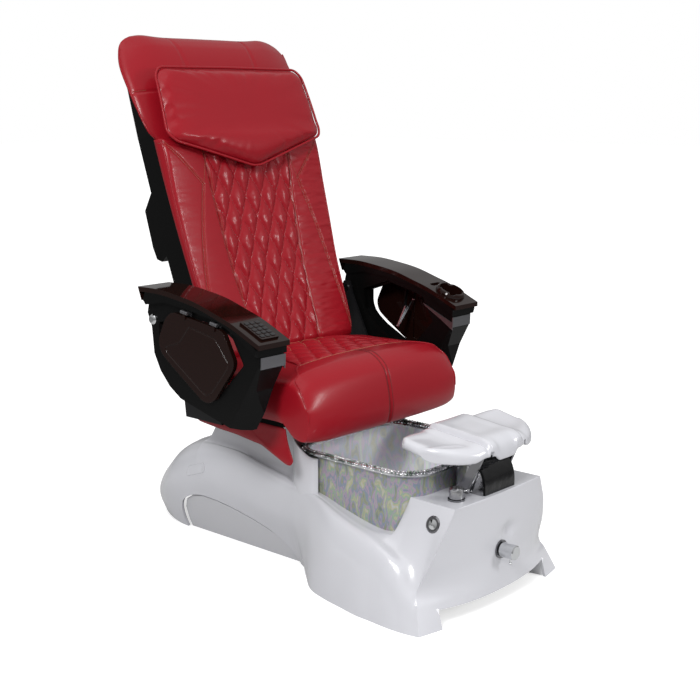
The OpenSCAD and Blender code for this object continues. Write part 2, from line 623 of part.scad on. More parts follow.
// Leather flap on each flank of the seat, hung from the pan
skirt_x = 284;
module seat_skirt(s) color("firebrick") side(s) difference() {
  slab(skirt_x, skirt_x + 10) rounded(5) polygon(concat(
    [[-128, pan_z - fit], [-130, 424]],
    s < 0 ? [[-140, 388], [-158, 356], [-150, 344], [-136, 344], [-40, 380]] : [[-132, 404], [-122, 396], [-40, 390]],
    [[60, 392], [130, 396], [214, 404], [236, 424], [238, pan_z - fit]]));
  for (b = bars) translate([0, b[0] - 1, bar_low - 1]) cube([400, b[1] - b[0] + 2, 60]);
}

// ---- back ----
// Drawn upright from its foot, then leant: x across, y behind the face, z along the slope
back_foot = [134, 604];
module leant() translate([0, back_foot[0], back_foot[1]]) rotate([-back_lean, 0, 0]) children();
// How far the centre of the face lies behind the slope line, and the half-width of the back, by height
face_line = [[0, -2], [110, 8], [226, 15], [345, 13], [460, 8], [562, -1], [614, 1]];
back_half = [[0, 276], [60, 284], [210, 291], [340, 300], [470, 306], [shoulder_h, 309]];
quilt_rows = 18;
panel_half = [[0, 124], [220, 142], [400, 154], [560, 166], [620, 170]];
function back_ring(v) =
  let (z = -10 + v * (shoulder_h + 7), h = guide(back_half, z), p = guide(panel_half, z),
    c = guide(face_line, z),
       e = min(1, 8 * v, 10 * (1 - v)), lift = 12 * (1 - e)^2, i = round(v * quilt_rows))
  concat(
    [[h - 8, back_thick - 2, z], [h - 1, back_thick * 0.8, z], [h, back_thick * 0.5 + lift * 0.4, z],
      [h - 8, c + 6 + lift, z],
     [h - 34, c - 4 + lift, z], [(h + p) / 2 + 10, c - 5 + lift, z], [p + 14, c + 1 + lift, z]],
    [for (j = [0:8]) [p * (1 - j / 4), c + lift + ((i + j) % 2 == 0 ? tuft_depth : 0) - 2, z]],
    [[-p - 14, c + 1 + lift, z], [-(h + p) / 2 - 10, c - 5 + lift, z], [-h + 34, c - 4 + lift, z],
      [-h + 8, c + 6 + lift, z],
     [-h, back_thick * 0.5 + lift * 0.4, z], [-h + 1, back_thick * 0.8, z], [-h + 8, back_thick - 2, z],
     [-h * 0.5, back_thick, z], [h * 0.5, back_thick, z]]);
module back_cushion() color("firebrick") leant()
  domed_loft([for (i = [0:quilt_rows]) back_ring(i / quilt_rows)],
             [0, back_thick / 2, -14], [0, back_thick / 2, shoulder_h - 2], quilt = 1);

// The head piece: half-width, face at the middle, sweep of the wings and rear by height
head_rows = [
  [shoulder_h, [300, 4, 26, 40]], [shoulder_h + 22, [318, 4, 32, 40]], [shoulder_h + 84, [328, 6, 34, 52]],
  [head_h - 156, [333, 12, 38, 66]], [head_h - 88, [333, 22, 40, 78]], [head_h - 41, [322, 36, 34, 80]],
  [head_h - 18, [307, 50, 26, 82]], [head_h - 5, [286, 62, 16, 84]], [head_h, [268, 70, 10, 84]]
];
function head_ring(z) =
  let (v = guide(head_rows, z), h = v[0], c = v[1], w = v[2], b = v[3])
  concat([for (t = [0:20]) let (a = 180 * t / 20, x = h * cos(a), k = abs(cos(a)))
           [x, min(c + w * k^4, b - 1), z]],
         [[-h + 4, b - 0.5, z], [-h * 0.6, b, z], [0, b, z], [h * 0.6, b, z], [h - 4, b - 0.5, z]]);
module head_cushion() color("firebrick") leant()
  domed_loft([for (z = [shoulder_h + 0.6, shoulder_h + 8, shoulder_h + 30, shoulder_h + 84, head_h - 156,
    head_h - 96,
                        head_h - 60, head_h - 34, head_h - 16, head_h - 6, head_h]) head_ring(z)],
    [0, 22, shoulder_h + 0.5], [0, 78, head_h + 1]);

// Pillow: a long hexagon with its lower edge drawn to a point
pillow_top = 812;
pillow_low = 508;
pillow_half = 303;
pillow_gap = 0.2;
// Foremost surface behind the pillow
face_all = [[480, -1], [520, -3], [562, -7], [598, -5], [616, 0], [640, 3.5], [700, 5.7], [770, 11.2],
  [838, 21], [900, 40]];
function pillow_ring(u) =
  let (x = pillow_half * u, e = 1 - abs(u)^6, low = pillow_low + 92 * abs(u)^1.15,
    hi = pillow_top - 6 * u^2,
       mid = (low + hi) / 2, tall = (hi - low) / 2 * (0.8 + 0.2 * e),
         deep = pillow_thick * (0.4 + 0.6 * e) / 2)
  [for (a = [0:24:336]) let (z = mid + tall * sin(a))
    [x, -pillow_gap + guide(face_all, z) - deep + deep * cos(a) * sqrt(abs(cos(a)) + 0.02), z]];
module pillow() color("firebrick") leant() loft([for (i = [0:14]) pillow_ring(-1 + i / 7)], turned = true);

// Hard shell behind the cushions: its front outline and its side profile, less the same drawn in by the wall
back_wall = 5;
shell_front = [[0, 30], [262, 30], [274, 44], [286, 340], [290, shoulder_h + 24], [286, head_h - 126],
               [268, head_h - 64], [232, head_h - 42], [0, head_h - 42]];
shell_side = [[back_thick + fit, 20], [back_thick + fit, shoulder_h + 24], [80 + fit, head_h - 96],
  [80 + fit, head_h - 26],
              [shell_depth - 10, head_h - 26], [shell_depth, head_h - 86], [shell_depth, 60],
                [shell_depth - 14, 20]];
module shell_block(wall) intersection() {
  rotate([90, 0, 0]) translate([0, 0, -200]) linear_extrude(300)
    offset(delta = -wall) polygon(concat(shell_front,
      [for (i = [len(shell_front) - 1:-1:0]) [-shell_front[i][0], shell_front[i][1]]]));
  slab(-400, 400) polygon([for (p = shell_side) [p[0] > back_thick + 60 ? p[0] - wall : p[0] - (wall > 0 ? 60 : 0), p[1]]]);
}
module back_shell() color("black") leant() difference() {
  shell_block(0);
  shell_block(back_wall);
  // open below between the recline ears
  translate([-ear_x + 4, back_thick, 10]) cube([2 * ear_x - 8, 60, 68]);
}
module back_band() color("black") leant() slab(-283, 283) rounded(4)
  polygon([[shell_depth + fit, shoulder_h - 312], [shell_depth + 26, shoulder_h - 324],
    [shell_depth + 46, shoulder_h - 312],
           [shell_depth + 52, shoulder_h - 276], [shell_depth + 50, shoulder_h - 170],
             [shell_depth + fit, shoulder_h - 124]]);
// Frame behind the cushion; its ears turn on the recline pins
frame_y = back_thick + fit;
frame_x = 204;
frame_top = shoulder_h + 10;
module back_frame() color("dimgray") {
  leant() {
    both() translate([frame_x, frame_y, -6]) cube([22, 22, frame_top + 6]);
    for (z = [44, frame_top - 22]) translate([-frame_x - 1, frame_y, z]) cube([2 * frame_x + 2, 22, 22]);
  }
  both() {
    slab(ear_x - 24, ear_x - 12) {
      translate(hinge_at) circle(r = 17);
      polygon([[hinge_at[0] - 17, hinge_at[1]], [hinge_at[0] + 17, hinge_at[1]],
        [hinge_at[0] + 22, hinge_at[1] + 90],
               [hinge_at[0] - 4, hinge_at[1] + 90]]);
    }
    rod_x(ear_x - 24, ear_x + ear_thick + 2, hinge_d, hinge_at[0], hinge_at[1]);
  }
}
track_x = 60;
track_y = back_thick + 6;
module massage_rails() color("silver") leant() both()
  translate([track_x - 4, track_y, 66]) cube([12, 12, frame_top - 88]);
block_y = track_y + 12 + fit;
roll_y = block_y + 10;
roll_z = 330;
module massage_carriage() color("gray") leant() difference() {
  union() {
    translate([-84, block_y, roll_z - 40]) cube([168, 28, 80]);
    both() translate([track_x + 8 + fit, track_y, roll_z - 40]) cube([8, 14, 80]);
  }
  translate([-48, block_y - 1, roll_z - 27]) cube([96, 40, 54]);
  rod_x(-60, 60, 8 + 2 * run_fit, roll_y, roll_z);
}
module massage_rollers() color("black") leant() {
  both() rotate([0, 90, 0]) translate([-roll_z, roll_y, 22]) rotate_extrude()
    polygon([[0, 0], [roller_r - 4, 0], [roller_r, 6], [roller_r, 14], [roller_r - 4, 20], [0, 20]]);
  rod_x(-58, 58, 8, roll_y, roll_z);
}

// ---- arms ----
// Outlines in the y-z plane, front edge first
cap_arc = [[-204, 696], [-107, 738], [-43, 758], [27, 778], [100, 790], [175, 798], [258, 798]];
body_pts = [[232, 752], [238, 728], [222, 692], [215, 620], [191, 575], [155, 537], [112, 510],
  [49, 494], [-23, 476],
            [-99, 457], [-122, 457], [-158, 471], [-163, 569], [-188, 628], [-190, 680]];
band_pts = [[-193, 663], [-120, 709], [-60, 736], [-30, 742], [27, 751], [70, 757], [150, 765], [228, 752]];
through_pts = [[150, 706], [142, 652], [120, 628], [16, 552], [-8, 545], [-34, 560], [-106, 640],
  [-72, 702], [-50, 712], [60, 738]];
// The window widens past the tray's front and rear edges on the outer side
outer_pts = [[192, 706], [192, 656], [178, 624], [140, 596], [18, 532], [-10, 526], [-40, 540],
  [-134, 634], [-96, 697],
             [-60, 716], [60, 738]];
tray_pts = [[151, 723], [181, 661], [172, 630], [140, 605], [16, 524], [-10, 517], [-36, 528],
  [-109, 620], [-114, 641],
            [-77, 712], [-57, 720], [123, 745]];
arc_line = [for (p = cap_arc) [p[0], p[1]]];
function arc_at(y) = guide(arc_line, y);
arc_ys = steps(-204, 258, 16);
under_cap = [for (y = arc_ys) [y, arc_at(y) - cap_thick]];
module cap_side() polygon(concat([for (y = arc_ys) [y, arc_at(y)]], [[244, 762]],
  [for (i = [15:-1:0]) under_cap[i]]));
module band_side() polygon(concat([for (i = [0:15]) let (p = under_cap[i]) [max(p[0], -193), p[1]]],
  [[238, 764]],
  [for (i = [len(band_pts) - 1:-1:0]) band_pts[i]]));
module body_side() polygon(concat(body_pts, [for (i = [1:14]) [under_cap[i][0], under_cap[i][1] - 1]]));
cap_in = arm_in - 6;
cap_out = arm_out + cap_over;
// Everything in front of a plane through p with normal n
module beyond(p, n) translate(p) rotate([0, acos(n[2] / norm(n)), atan2(n[1], n[0])])
  translate([-400, -400, 0]) cube([800, 800, 300]);

// The tray hangs from an axis that follows the cap; its stay folds in the plane square to it
tray_axis = [arm_out + 16, 12.5, 739];
tray_tilt = 8.9;
module on_tray_axis() translate(tray_axis) rotate([tray_tilt, 0, 0]) children();
// Stay pivots in that plane, x across and z up from the axis: on the tray, on the arm and where the links meet
stay_t = [-25, -57.77];
stay_b = [-54.09, -78.88];
stay_m = [stay_t[0] + stay_b[0], stay_t[1] + stay_b[1]];
stay_pin = 5;
link_w = 11;
// Part of the linkage drawn in the x-z plane, from y0 to y1 along the axis
module plate(y0, y1) translate([0, y1, 0]) rotate([90, 0, 0]) linear_extrude(y1 - y0) children();
module bar(a, b, w) {
  translate(a) circle(d = w);
  translate(b) circle(d = w);
  translate(a) rotate(atan2(b[1] - a[1], b[0] - a[0])) translate([0,
    -w * bar_waist / 2]) square([norm(b - a), w * bar_waist]);
}
bar_waist = 0.8;

module arm_body(s) color([0.1, 0.1, 0.1]) side(s) {
  difference() {
    union() {
      slab(arm_in, arm_out) body_side();
      slab(cap_in, cap_out) band_side();
    }
    slab(arm_in - 1, arm_out + 1) rounded(8) polygon(through_pts);
    slab(arm_in - 1, arm_in + 16) rounded(8) offset(8) polygon(through_pts);
    slab(arm_in + 34, arm_out + 1) rounded(8) polygon(outer_pts);
    beyond([arm_out, -191, 642], [0.728, -0.579, -0.367]);
    beyond([arm_in, -191, 642], [-0.728, -0.579, -0.367]);
    rod_x(arm_in - 1, arm_out + 1, pivot_d + 2 * run_fit, arm_pivot[0], arm_pivot[1]);
    if (s > 0) cup_space(fit);
  }
  // bracket of the stay, from the top of the opening down to its pivot
  on_tray_axis() {
    plate(7, 11) bar([stay_b[0], -18], stay_b, 14);
    plate(2, 8) translate(stay_b) circle(d = stay_pin);
  }
}
module arm_cap(s) color([0.22, 0.08, 0.06]) side(s) difference() {
  slab(cap_in, cap_out) cap_side();
  if (s > 0) {
    cup_space(fit);
    on_cap(slot_y) translate([-24, -8, -8]) cube([48, 16, 20]);
  } else on_cap(remote_y) translate([-remote_w / 2 - fit, -remote_l / 2 - fit,
    -remote_sink]) cube([remote_w + 2 * fit, remote_l + 2 * fit, 30]);
}
// Silver inlay: a strip on the front face that runs back along the inner side as a wedge
module arm_accent(s) color("silver") side(s) {
  slab(arm_in - 3, arm_in) polygon([[-190, 644], [-190, 622], [-150, 648], [-88, 684], [-80, 692]]);
  slab(arm_in - 3, arm_out - 4) polygon([[-188.4, 630], [-191.2, 630], [-192.4, 660], [-189.6, 660]]);
}
module arm_pivot_pin(s) color("silver") side(s) {
  rod_x(post_in - 4, arm_out + 1, pivot_d, arm_pivot[0], arm_pivot[1]);
  translate([arm_out + fit, arm_pivot[0], arm_pivot[1]]) rotate([0, 90, 0]) rotate_extrude()
    polygon([[0, 0], [14, 0], [14, 3], [12, 6], [8, 8], [0, 9]]);
}
// Knuckles of the tray's hinge: outer pair on the arm, middle one on the tray with its pin
knuckle_d = 9;
knuckle_at = [-57, 57];
module tray_hinge(s) color("silver") side(s) on_tray_axis() for (c = knuckle_at) difference() {
  for (k = [-13, 5]) plate(c + k, c + k + 8) {
    circle(d = knuckle_d);
    translate([-16 + fit, 0]) square([16 - fit, knuckle_d / 2]);
    translate([-16 + fit, -8]) square([4, 12]);
  }
  plate(c - 14, c + 14) circle(d = 4 + 2 * run_fit);
}
module tray(s) color([0.22, 0.08, 0.06]) side(s) {
  difference() {
    slab(arm_out + fit, arm_out + tray_thick) rounded(10) offset(-1) polygon(tray_pts);
    // hollow behind, so that the stay folds into it
    slab(arm_out - 1, arm_out + 6) polygon([[30, 700], [30, 560], [-14, 545], [-40, 570], [-40, 700]]);
    on_tray_axis() for (c = knuckle_at) plate(c - 15, c + 15) circle(d = knuckle_d + 9);
  }
  on_tray_axis() {
    for (c = knuckle_at) {
      plate(c - 4.5, c + 4.5) difference() {
        union() {
          circle(d = knuckle_d);
          translate([-knuckle_d / 2, -20]) square([6, 20]);
        }
      }
      plate(c - 13, c + 13) circle(d = 4);
    }
    // ear that holds the stay's upper pin
    plate(-6, -2 - fit) {
      translate(stay_t) circle(d = link_w);
      translate([stay_t[0], stay_t[1] - link_w / 2]) square([-stay_t[0] - 9, link_w]);
    }
    plate(-6, 2) translate(stay_t) circle(d = stay_pin);
  }
}
module stay_upper(s) color("silver") side(s) on_tray_axis() plate(-2, 2) difference() {
  bar(stay_t, stay_m, link_w);
  translate(stay_t) circle(d = stay_pin + 2 * run_fit);
  translate(stay_m) circle(d = stay_pin + 2 * open_fit);
}
// Clearance of the one pivot that closes the linkage
open_fit = 0.15;
module stay_lower(s) color("silver") side(s) on_tray_axis() {
  plate(2 + fit, 7 - fit) difference() {
    bar(stay_b, stay_m, link_w);
    translate(stay_b) circle(d = stay_pin + 2 * run_fit);
  }
  plate(-2, 5) translate(stay_m) circle(d = stay_pin);
}

// A child drawn flat on the cap at depth y, x across the cap
function cap_slope(y) = atan2(arc_at(y + 20) - arc_at(y - 20), 40);
module on_cap(y) translate([(cap_in + cap_out) / 2, y, arc_at(y)]) rotate([cap_slope(y), 0, 0]) children();
cup_y = -142;
slot_y = -88;
cup_wall = 3;
cup_lip = 10; // reach of the cup's ring past its bore, and the ring's height above the cap
cup_ring = 13;
module cup_space(gap) on_cap(cup_y) translate([0, 0,
  -46 - gap]) cylinder(d = cup_d + 2 * cup_wall + 2 * gap, h = 90);
module cup_holder() color([0.22, 0.08, 0.06]) on_cap(cup_y) difference() {
  union() {
    translate([0, 0, -46]) cylinder(d = cup_d + 2 * cup_wall, h = 50);
    translate([0, 0, fit]) rotate_extrude()
      polygon([[30, 0], [cup_d / 2 + cup_lip, 0], [cup_d / 2 + cup_lip - 1, cup_ring - 7],
        [cup_d / 2 + cup_lip - 4, cup_ring - 2],
               [cup_d / 2 + 3, cup_ring], [30, cup_ring]]);
  }
  translate([0, 0, -46 + cup_wall]) cylinder(d = cup_d, h = 100);
  for (a = [0:90:270]) rotate(a + 45) translate([cup_d / 2, 0, cup_ring + 6]) sphere(r = 12);
}
remote_y = -150;
remote_w = 62;
remote_l = 86;
remote_sink = 8;
key_travel = 1.5;
module on_remote() mirror([1, 0, 0]) on_cap(remote_y) children();
module remote_body() color([0.2, 0.08, 0.07]) on_remote() difference() {
  translate([0, 0, -remote_sink]) linear_extrude(remote_sink + 5) rounded(4) square([remote_w, remote_l],
    center = true);
  for (i = [-1:1], j = [-2:2]) translate([i * 18, j * 15, 0]) linear_extrude(10) rounded(3) square([14.4,
    11.4], center = true);
  translate([0, 0, -4]) linear_extrude(4.5) square([remote_w - 8, remote_l - 8], center = true);
}
module remote_keys() color("gray") on_remote() {
  for (i = [-1:1], j = [-2:2]) translate([i * 18, j * 15, -1]) linear_extrude(7.5) rounded(3) square([14,
    11], center = true);
  translate([0, 0, -2 + 0.3]) linear_extrude(1.8) square([remote_w - 9, remote_l - 9], center = true);
}

base_shell();
side_panel(-1);  // side_panel_right
side_panel(1);  // side_panel_left
tub();
tub_drain();
tub_cradle();
jet_housing();
jet_impeller();
jet_motor();
spout_body();
spout_cover();
mixer_flange();
mixer_knob();
button_bezel();
air_button();
valve_flange();
valve_handle();
footrest_bracket();
footrest_pad();
pump_motor();
power_inlet();
seat_rails();
slide_barrel();
slide_rod();
seat_carriage();
seat_pan();
seat_cushion();
seat_skirt(-1);  // seat_skirt_right
seat_skirt(1);  // seat_skirt_left
recline_motor();
back_frame();
back_shell();
back_band();
back_cushion();
head_cushion();
pillow();
massage_rails();
massage_carriage();
massage_rollers();
arm_body(-1);  // arm_body_right
arm_body(1);  // arm_body_left
arm_cap(-1);  // arm_cap_right
arm_cap(1);  // arm_cap_left
arm_accent(-1);  // arm_accent_right
arm_accent(1);  // arm_accent_left
arm_pivot_pin(-1);  // arm_pivot_right
arm_pivot_pin(1);  // arm_pivot_left
tray_hinge(-1);  // tray_hinge_right
tray_hinge(1);  // tray_hinge_left
tray(-1);  // tray_right
tray(1);  // tray_left
stay_upper(-1);  // stay_upper_right
stay_upper(1);  // stay_upper_left
stay_lower(-1);  // stay_lower_right
stay_lower(1);  // stay_lower_left
remote_body();
remote_keys();
cup_holder();
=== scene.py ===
import math
import bpy
import bmesh
import numpy as np
from mathutils import Matrix, Vector, noise


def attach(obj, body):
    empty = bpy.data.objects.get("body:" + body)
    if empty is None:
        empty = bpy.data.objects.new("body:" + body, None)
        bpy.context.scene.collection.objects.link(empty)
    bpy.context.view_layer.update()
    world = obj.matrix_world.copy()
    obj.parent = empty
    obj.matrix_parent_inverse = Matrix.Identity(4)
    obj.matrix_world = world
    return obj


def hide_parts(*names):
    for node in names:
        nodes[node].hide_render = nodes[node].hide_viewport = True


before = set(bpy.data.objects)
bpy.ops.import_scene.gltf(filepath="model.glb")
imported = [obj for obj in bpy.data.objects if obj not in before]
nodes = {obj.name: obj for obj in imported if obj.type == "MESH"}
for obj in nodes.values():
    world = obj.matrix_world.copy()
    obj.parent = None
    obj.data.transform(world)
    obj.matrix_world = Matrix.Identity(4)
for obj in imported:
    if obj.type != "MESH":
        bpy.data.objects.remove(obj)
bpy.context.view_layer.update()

# ---- moulded base ----
# One gel-coated glass-fibre moulding, open below: tail, pedestal, hollow flanks and the control box in front.
# It is laid up in one mould, then the basin's opening, the toe gap and the service arches are cut out of it.


def node(tree, kind, **sockets):
    """Shader node with its inputs set; an underscore stands for a space in their names"""
    made = tree.nodes.new("ShaderNode" + kind)
    for name, value in sockets.items():
        made.inputs[name.replace("_", " ")].default_value = value
    return made


def wired(tree, *wires):
    """Links output to input: node, its output, node, its input"""
    for start, out, end, into in wires:
        tree.links.new(start.outputs[out], end.inputs[into])


def finish_of(name, colour, rough=0.4, metal=0.0, coat=0.0, grain=0.0, scale=300.0, depth=0.0002, spec=0.5,
              coat_rough=0.06):
    """Material with a fine procedural grain on object coordinates"""
    mat = bpy.data.materials.new(name)
    mat.use_nodes = True
    nt = mat.node_tree
    bsdf = nt.nodes["Principled BSDF"]
    settings = {"Base Color": (*colour, 1), "Roughness": rough, "Metallic": metal, "Coat Weight": coat,
                "Coat Roughness": coat_rough, "Specular IOR Level": spec}
    for socket, value in settings.items():
        bsdf.inputs[socket].default_value = value
    if grain:
        coord = node(nt, "TexCoord")
        tex = node(nt, "TexNoise", Scale=scale, Detail=5)
        bump = node(nt, "Bump", Strength=grain, Distance=depth)
        wired(nt, (coord, "Object", tex, "Vector"), (tex, "Fac", bump, "Height"),
              (bump, "Normal", bsdf, "Normal"), (bump, "Normal", bsdf, "Coat Normal"))
    return mat


def shaded(obj):
    """Shades every face smooth"""
    obj.data.polygons.foreach_set("use_smooth", [True] * len(obj.data.polygons))


def smooth(obj, angle=35):
    """Shades smooth and keeps the edges sharper than the angle"""
    shaded(obj)
    bm = bmesh.new()
    bm.from_mesh(obj.data)
    for e in bm.edges:
        e.smooth = len(e.link_faces) != 2 or e.calc_face_angle(0) < math.radians(angle)
    bm.to_mesh(obj.data)
    bm.free()
    return obj


def piece(name, verts, faces, mat, body=None, angle=35):
    """Mesh piece at the origin, in metres, carried by a body"""
    mesh = bpy.data.meshes.new(name)
    mesh.from_pydata([tuple(v) for v in verts], [], faces)
    mesh.update()
    obj = bpy.data.objects.new(name, mesh)
    bpy.context.scene.collection.objects.link(obj)
    obj.data.materials.append(mat)
    smooth(obj, angle)
    if body:
        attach(obj, body)
    return obj


def apply_mods(obj):
    """Leaves the mesh that the modifiers make"""
    bpy.context.view_layer.update()
    dg = bpy.context.evaluated_depsgraph_get()
    mesh = bpy.data.meshes.new_from_object(obj.evaluated_get(dg))
    obj.modifiers.clear()
    obj.data = mesh
    return obj


def modify(obj, kind, **values):
    """Adds a modifier with these settings"""
    mod = obj.modifiers.new(kind.title(), kind)
    for key, value in values.items():
        setattr(mod, key, value)
    return mod


def round_edges(obj, width, angle=35, segments=3):
    """Bevels the sharp edges and shades smooth"""
    modify(obj, "BEVEL", width=width, segments=segments, limit_method="ANGLE",
           angle_limit=math.radians(angle), use_clamp_overlap=True, harden_normals=False)
    modify(obj, "WEIGHTED_NORMAL", keep_sharp=False, weight=80)
    shaded(obj)
    return obj


def paint(names, mat, bevel=0.0):
    """Gives CAD nodes their finish, and their edges a small radius"""
    for n in names.split():
        nodes[n].data.materials.clear()
        nodes[n].data.materials.append(mat)
        if bevel:
            round_edges(nodes[n], bevel, 40, 2)


def guide(keys, u):
    """Smooth value through [place, value] keys at u"""
    at = [k[0] for k in keys]
    val = [np.array(k[1], float) for k in keys]
    i = max(1, min(len(at) - 1, int(np.searchsorted(at, u))))
    lo, hi = max(i - 2, 0), min(i + 1, len(at) - 1)
    w = at[i] - at[i - 1]
    t = min(max((u - at[i - 1]) / w, 0), 1)
    m0 = (val[i] - val[lo]) / (at[i] - at[lo])
    m1 = (val[hi] - val[i - 1]) / (at[hi] - at[i - 1])
    return ((2 * t**3 - 3 * t**2 + 1) * val[i - 1] + (t**3 - 2 * t**2 + t) * w * m0
            + (3 * t**2 - 2 * t**3) * val[i] + (t**3 - t**2) * w * m1)


def lofted(name, rings, mat, body=None, closed=True, caps=True, flip=False, angle=35):
    """Skin through rings of equal count, in millimetres; closed rings, with their ends filled"""
    n, m = len(rings[0]), len(rings)
    verts = [np.array(p) / 1000 for r in rings for p in r]
    faces = []
    for i in range(m - 1):
        for j in range(n if closed else n - 1):
            a, b = i * n + j, i * n + (j + 1) % n
            faces.append((a, a + n, b + n, b) if not flip else (a, b, b + n, a + n))
    if caps:
        first, last = list(range(n)), [(m - 1) * n + j for j in range(n)]
        faces += [first if not flip else first[::-1], last[::-1] if not flip else last]
    return piece(name, verts, faces, mat, body, angle)


gel_coat = finish_of("gel_coat", (0.60, 0.602, 0.64), 0.2, coat=0.5, grain=0.04, scale=9, depth=0.002)

deck_rows = [
    [-440, [[314, 0], [308, 60], [298, 130], [280, 182], [250, 192], [226, 204], [208, 207], [0, 207]]],
    [-395, [[312, 0], [306, 65], [296, 140], [276, 194], [246, 203], [226, 203], [208, 203], [0, 203]]],
    [-330, [[300, 0], [296, 70], [288, 150], [268, 208], [242, 214], [222, 213], [208, 213], [0, 213]]],
    [-260, [[286, 0], [283, 75], [276, 160], [258, 226], [234, 232], [220, 231], [208, 230], [0, 230]]],
    [-190, [[262, 0], [258, 80], [252, 165], [238, 242], [224, 250], [216, 251], [208, 250], [0, 250]]],
    [-120, [[206, 0], [214, 80], [224, 165], [224, 240], [216, 258], [208, 261], [200, 261], [0, 261]]],
    [-66, [[158, 0], [184, 80], [210, 160], [215, 238], [206, 260], [194, 265], [182, 266], [0, 266]]]]
hump_rows = [
    [-40, [[144, 0], [176, 80], [206, 160], [213, 241], [201, 266], [177, 280], [168, 400], [0, 400]]],
    [60, [[137, 0], [172, 82], [204, 165], [210, 255], [198, 283], [176, 292], [168, 400], [0, 400]]],
    [150, [[137, 0], [174, 90], [207, 185], [212, 277], [198, 301], [176, 308], [168, 400], [0, 400]]],
    [250, [[139, 0], [178, 92], [211, 190], [211, 278], [196, 303], [174, 311], [165, 400], [0, 400]]]]
tail_rows = [
    [318, [[141, 0], [181, 92], [209, 184], [207, 264], [188, 293], [170, 303], [150, 309], [0, 312]]],
    [400, [[147, 0], [184, 85], [203, 165], [195, 232], [170, 263], [144, 275], [112, 281], [0, 286]]],
    [464, [[144, 0], [177, 78], [192, 145], [180, 200], [150, 232], [118, 244], [86, 250], [0, 255]]],
    [520, [[136, 6], [162, 68], [170, 120], [156, 165], [126, 193], [96, 204], [68, 209], [0, 213]]],
    [575, [[116, 14], [136, 60], [138, 100], [122, 135], [96, 157], [72, 166], [50, 170], [0, 173]]],
    [622, [[80, 22], [97, 54], [98, 80], [85, 106], [64, 121], [46, 127], [30, 130], [0, 132]]],
    [668, [[18, 34], [22, 48], [22, 60], [19, 72], [14, 78], [10, 81], [6, 82], [0, 83]]]]
box_rows = [
    [-606, [[308, 0], [298, 28], [285, 62], [271, 95], [250, 166], [222, 238], [188, 300], [0, 300]]],
    [-560, [[315, 0], [303, 30], [289, 66], [272, 98], [240, 168], [210, 238], [187, 300], [0, 300]]],
    [-510, [[318, 0], [310, 52], [297, 108], [277, 146], [246, 172], [211, 238], [186, 300], [0, 300]]],
    [-468, [[316, 0], [310, 60], [300, 124], [280, 172], [244, 180], [212, 230], [184, 300], [0, 300]]]]
# The front face stands here; each point of its outline lies this much further back
front_y = -606
corner_back = [9, 20, 33, 45, 21, 3, -7, -12]
face_bow = 12
face_steps = (0, 0.08, 0.15, 0.22, 0.3, 0.45, 0.6, 0.72, 0.82, 0.9, 0.95, 0.985, 1)
dimple_x, dimple_z, dimple_r, dimple_depth = 36, 190, 19, 10


def section(row, y, back=(0,) * 8, squeeze=1.0, bow=0.0):
    """Ring over the base at depth y, from side to side; squeeze draws it in and bow swells it"""
    keys = [[i, [row[i][0], row[i][1], back[i]]] for i in range(8)]
    spread = squeeze**2.6
    half = []
    for j in np.concatenate([np.linspace(0, 5, 41), np.linspace(5.1, 7, 20)]):
        i = min(int(j), 6)
        a, b = np.array(keys[i][1]), np.array(keys[i + 1][1])
        p = guide(keys, j) if j <= 5 else (1 - (j - i)) * a + (j - i) * b
        swell = bow * (1 + 0.8 * max(0, 1 - p[1] / 130))
        sag = 1 - 0.02 * (1 - squeeze) * (p[1] > 150)
        half.append([p[0] * squeeze, y + p[2] * spread - swell * (1 - spread), p[1] * sag])
    half[-1][0] = 0
    ring = half + [[-p[0], p[1], p[2]] for p in half[-2::-1]]
    if bow:  # round dimple over the valve
        for p in ring:
            p[1] += dimple_depth * math.exp(-(math.hypot(p[0] - dimple_x, p[2] - dimple_z) / dimple_r) ** 4)
    return ring


def rows_between(rows, count):
    """Evenly spaced depths through the rows, each with its own row"""
    return [(y, guide(rows, y)) for y in np.linspace(rows[0][0], rows[-1][0], count)]


base_rings = [section(box_rows[0][1], front_y, corner_back, s, face_bow) for s in face_steps]
for y, row in rows_between(box_rows, 12)[1:]:
    lead = max(0, 1 - (y - front_y) / 46)
    base_rings.append(section(row, y, [b * lead for b in corner_back]))
for rows, count in ((deck_rows, 34), (hump_rows, 16), (tail_rows, 40)):
    base_rings += [section(row, y) for y, row in rows_between(rows, count)]
tail_end = base_rings[-1]
base_rings += [[[p[0] * s, 668 + 3 * (1 - s), 60 + (p[2] - 60) * s] for p in tail_end] for s in (0.7, 0.3, 0)]
base = lofted("base_moulding", base_rings, gel_coat, closed=False, caps=False)
bm = bmesh.new()
bm.from_mesh(base.data)
bmesh.ops.remove_doubles(bm, verts=bm.verts, dist=0.0001)
bm.to_mesh(base.data)
bm.free()
modify(base, "SOLIDIFY", thickness=0.008, offset=-1, use_even_offset=False)
apply_mods(base)


def turned(degrees, axis):
    return Matrix.Rotation(math.radians(degrees), 4, axis)


def prism_faces(n):
    """Faces between two outlines of n points, with both ends filled"""
    ends = [tuple(range(n))[::-1], tuple(range(n, 2 * n))]
    return ends + [(j, (j + 1) % n, n + (j + 1) % n, n + j) for j in range(n)]


def cutter(outline, low, high, place=Matrix.Identity(4)):
    """Upright prism on an outline in millimetres, to cut with or to keep"""
    verts = [place @ Vector((p[0], p[1], z)) / 1000 for z in (low, high) for p in outline]
    return piece("cutter", verts, prism_faces(len(outline)), gel_coat)


def cut(obj, *tools):
    """Takes the tools' space out of a piece and throws the tools away"""
    for tool in tools:
        modify(obj, "BOOLEAN", object=tool, operation="DIFFERENCE", solver="EXACT")
        apply_mods(obj)
        bpy.data.objects.remove(tool)
    return obj


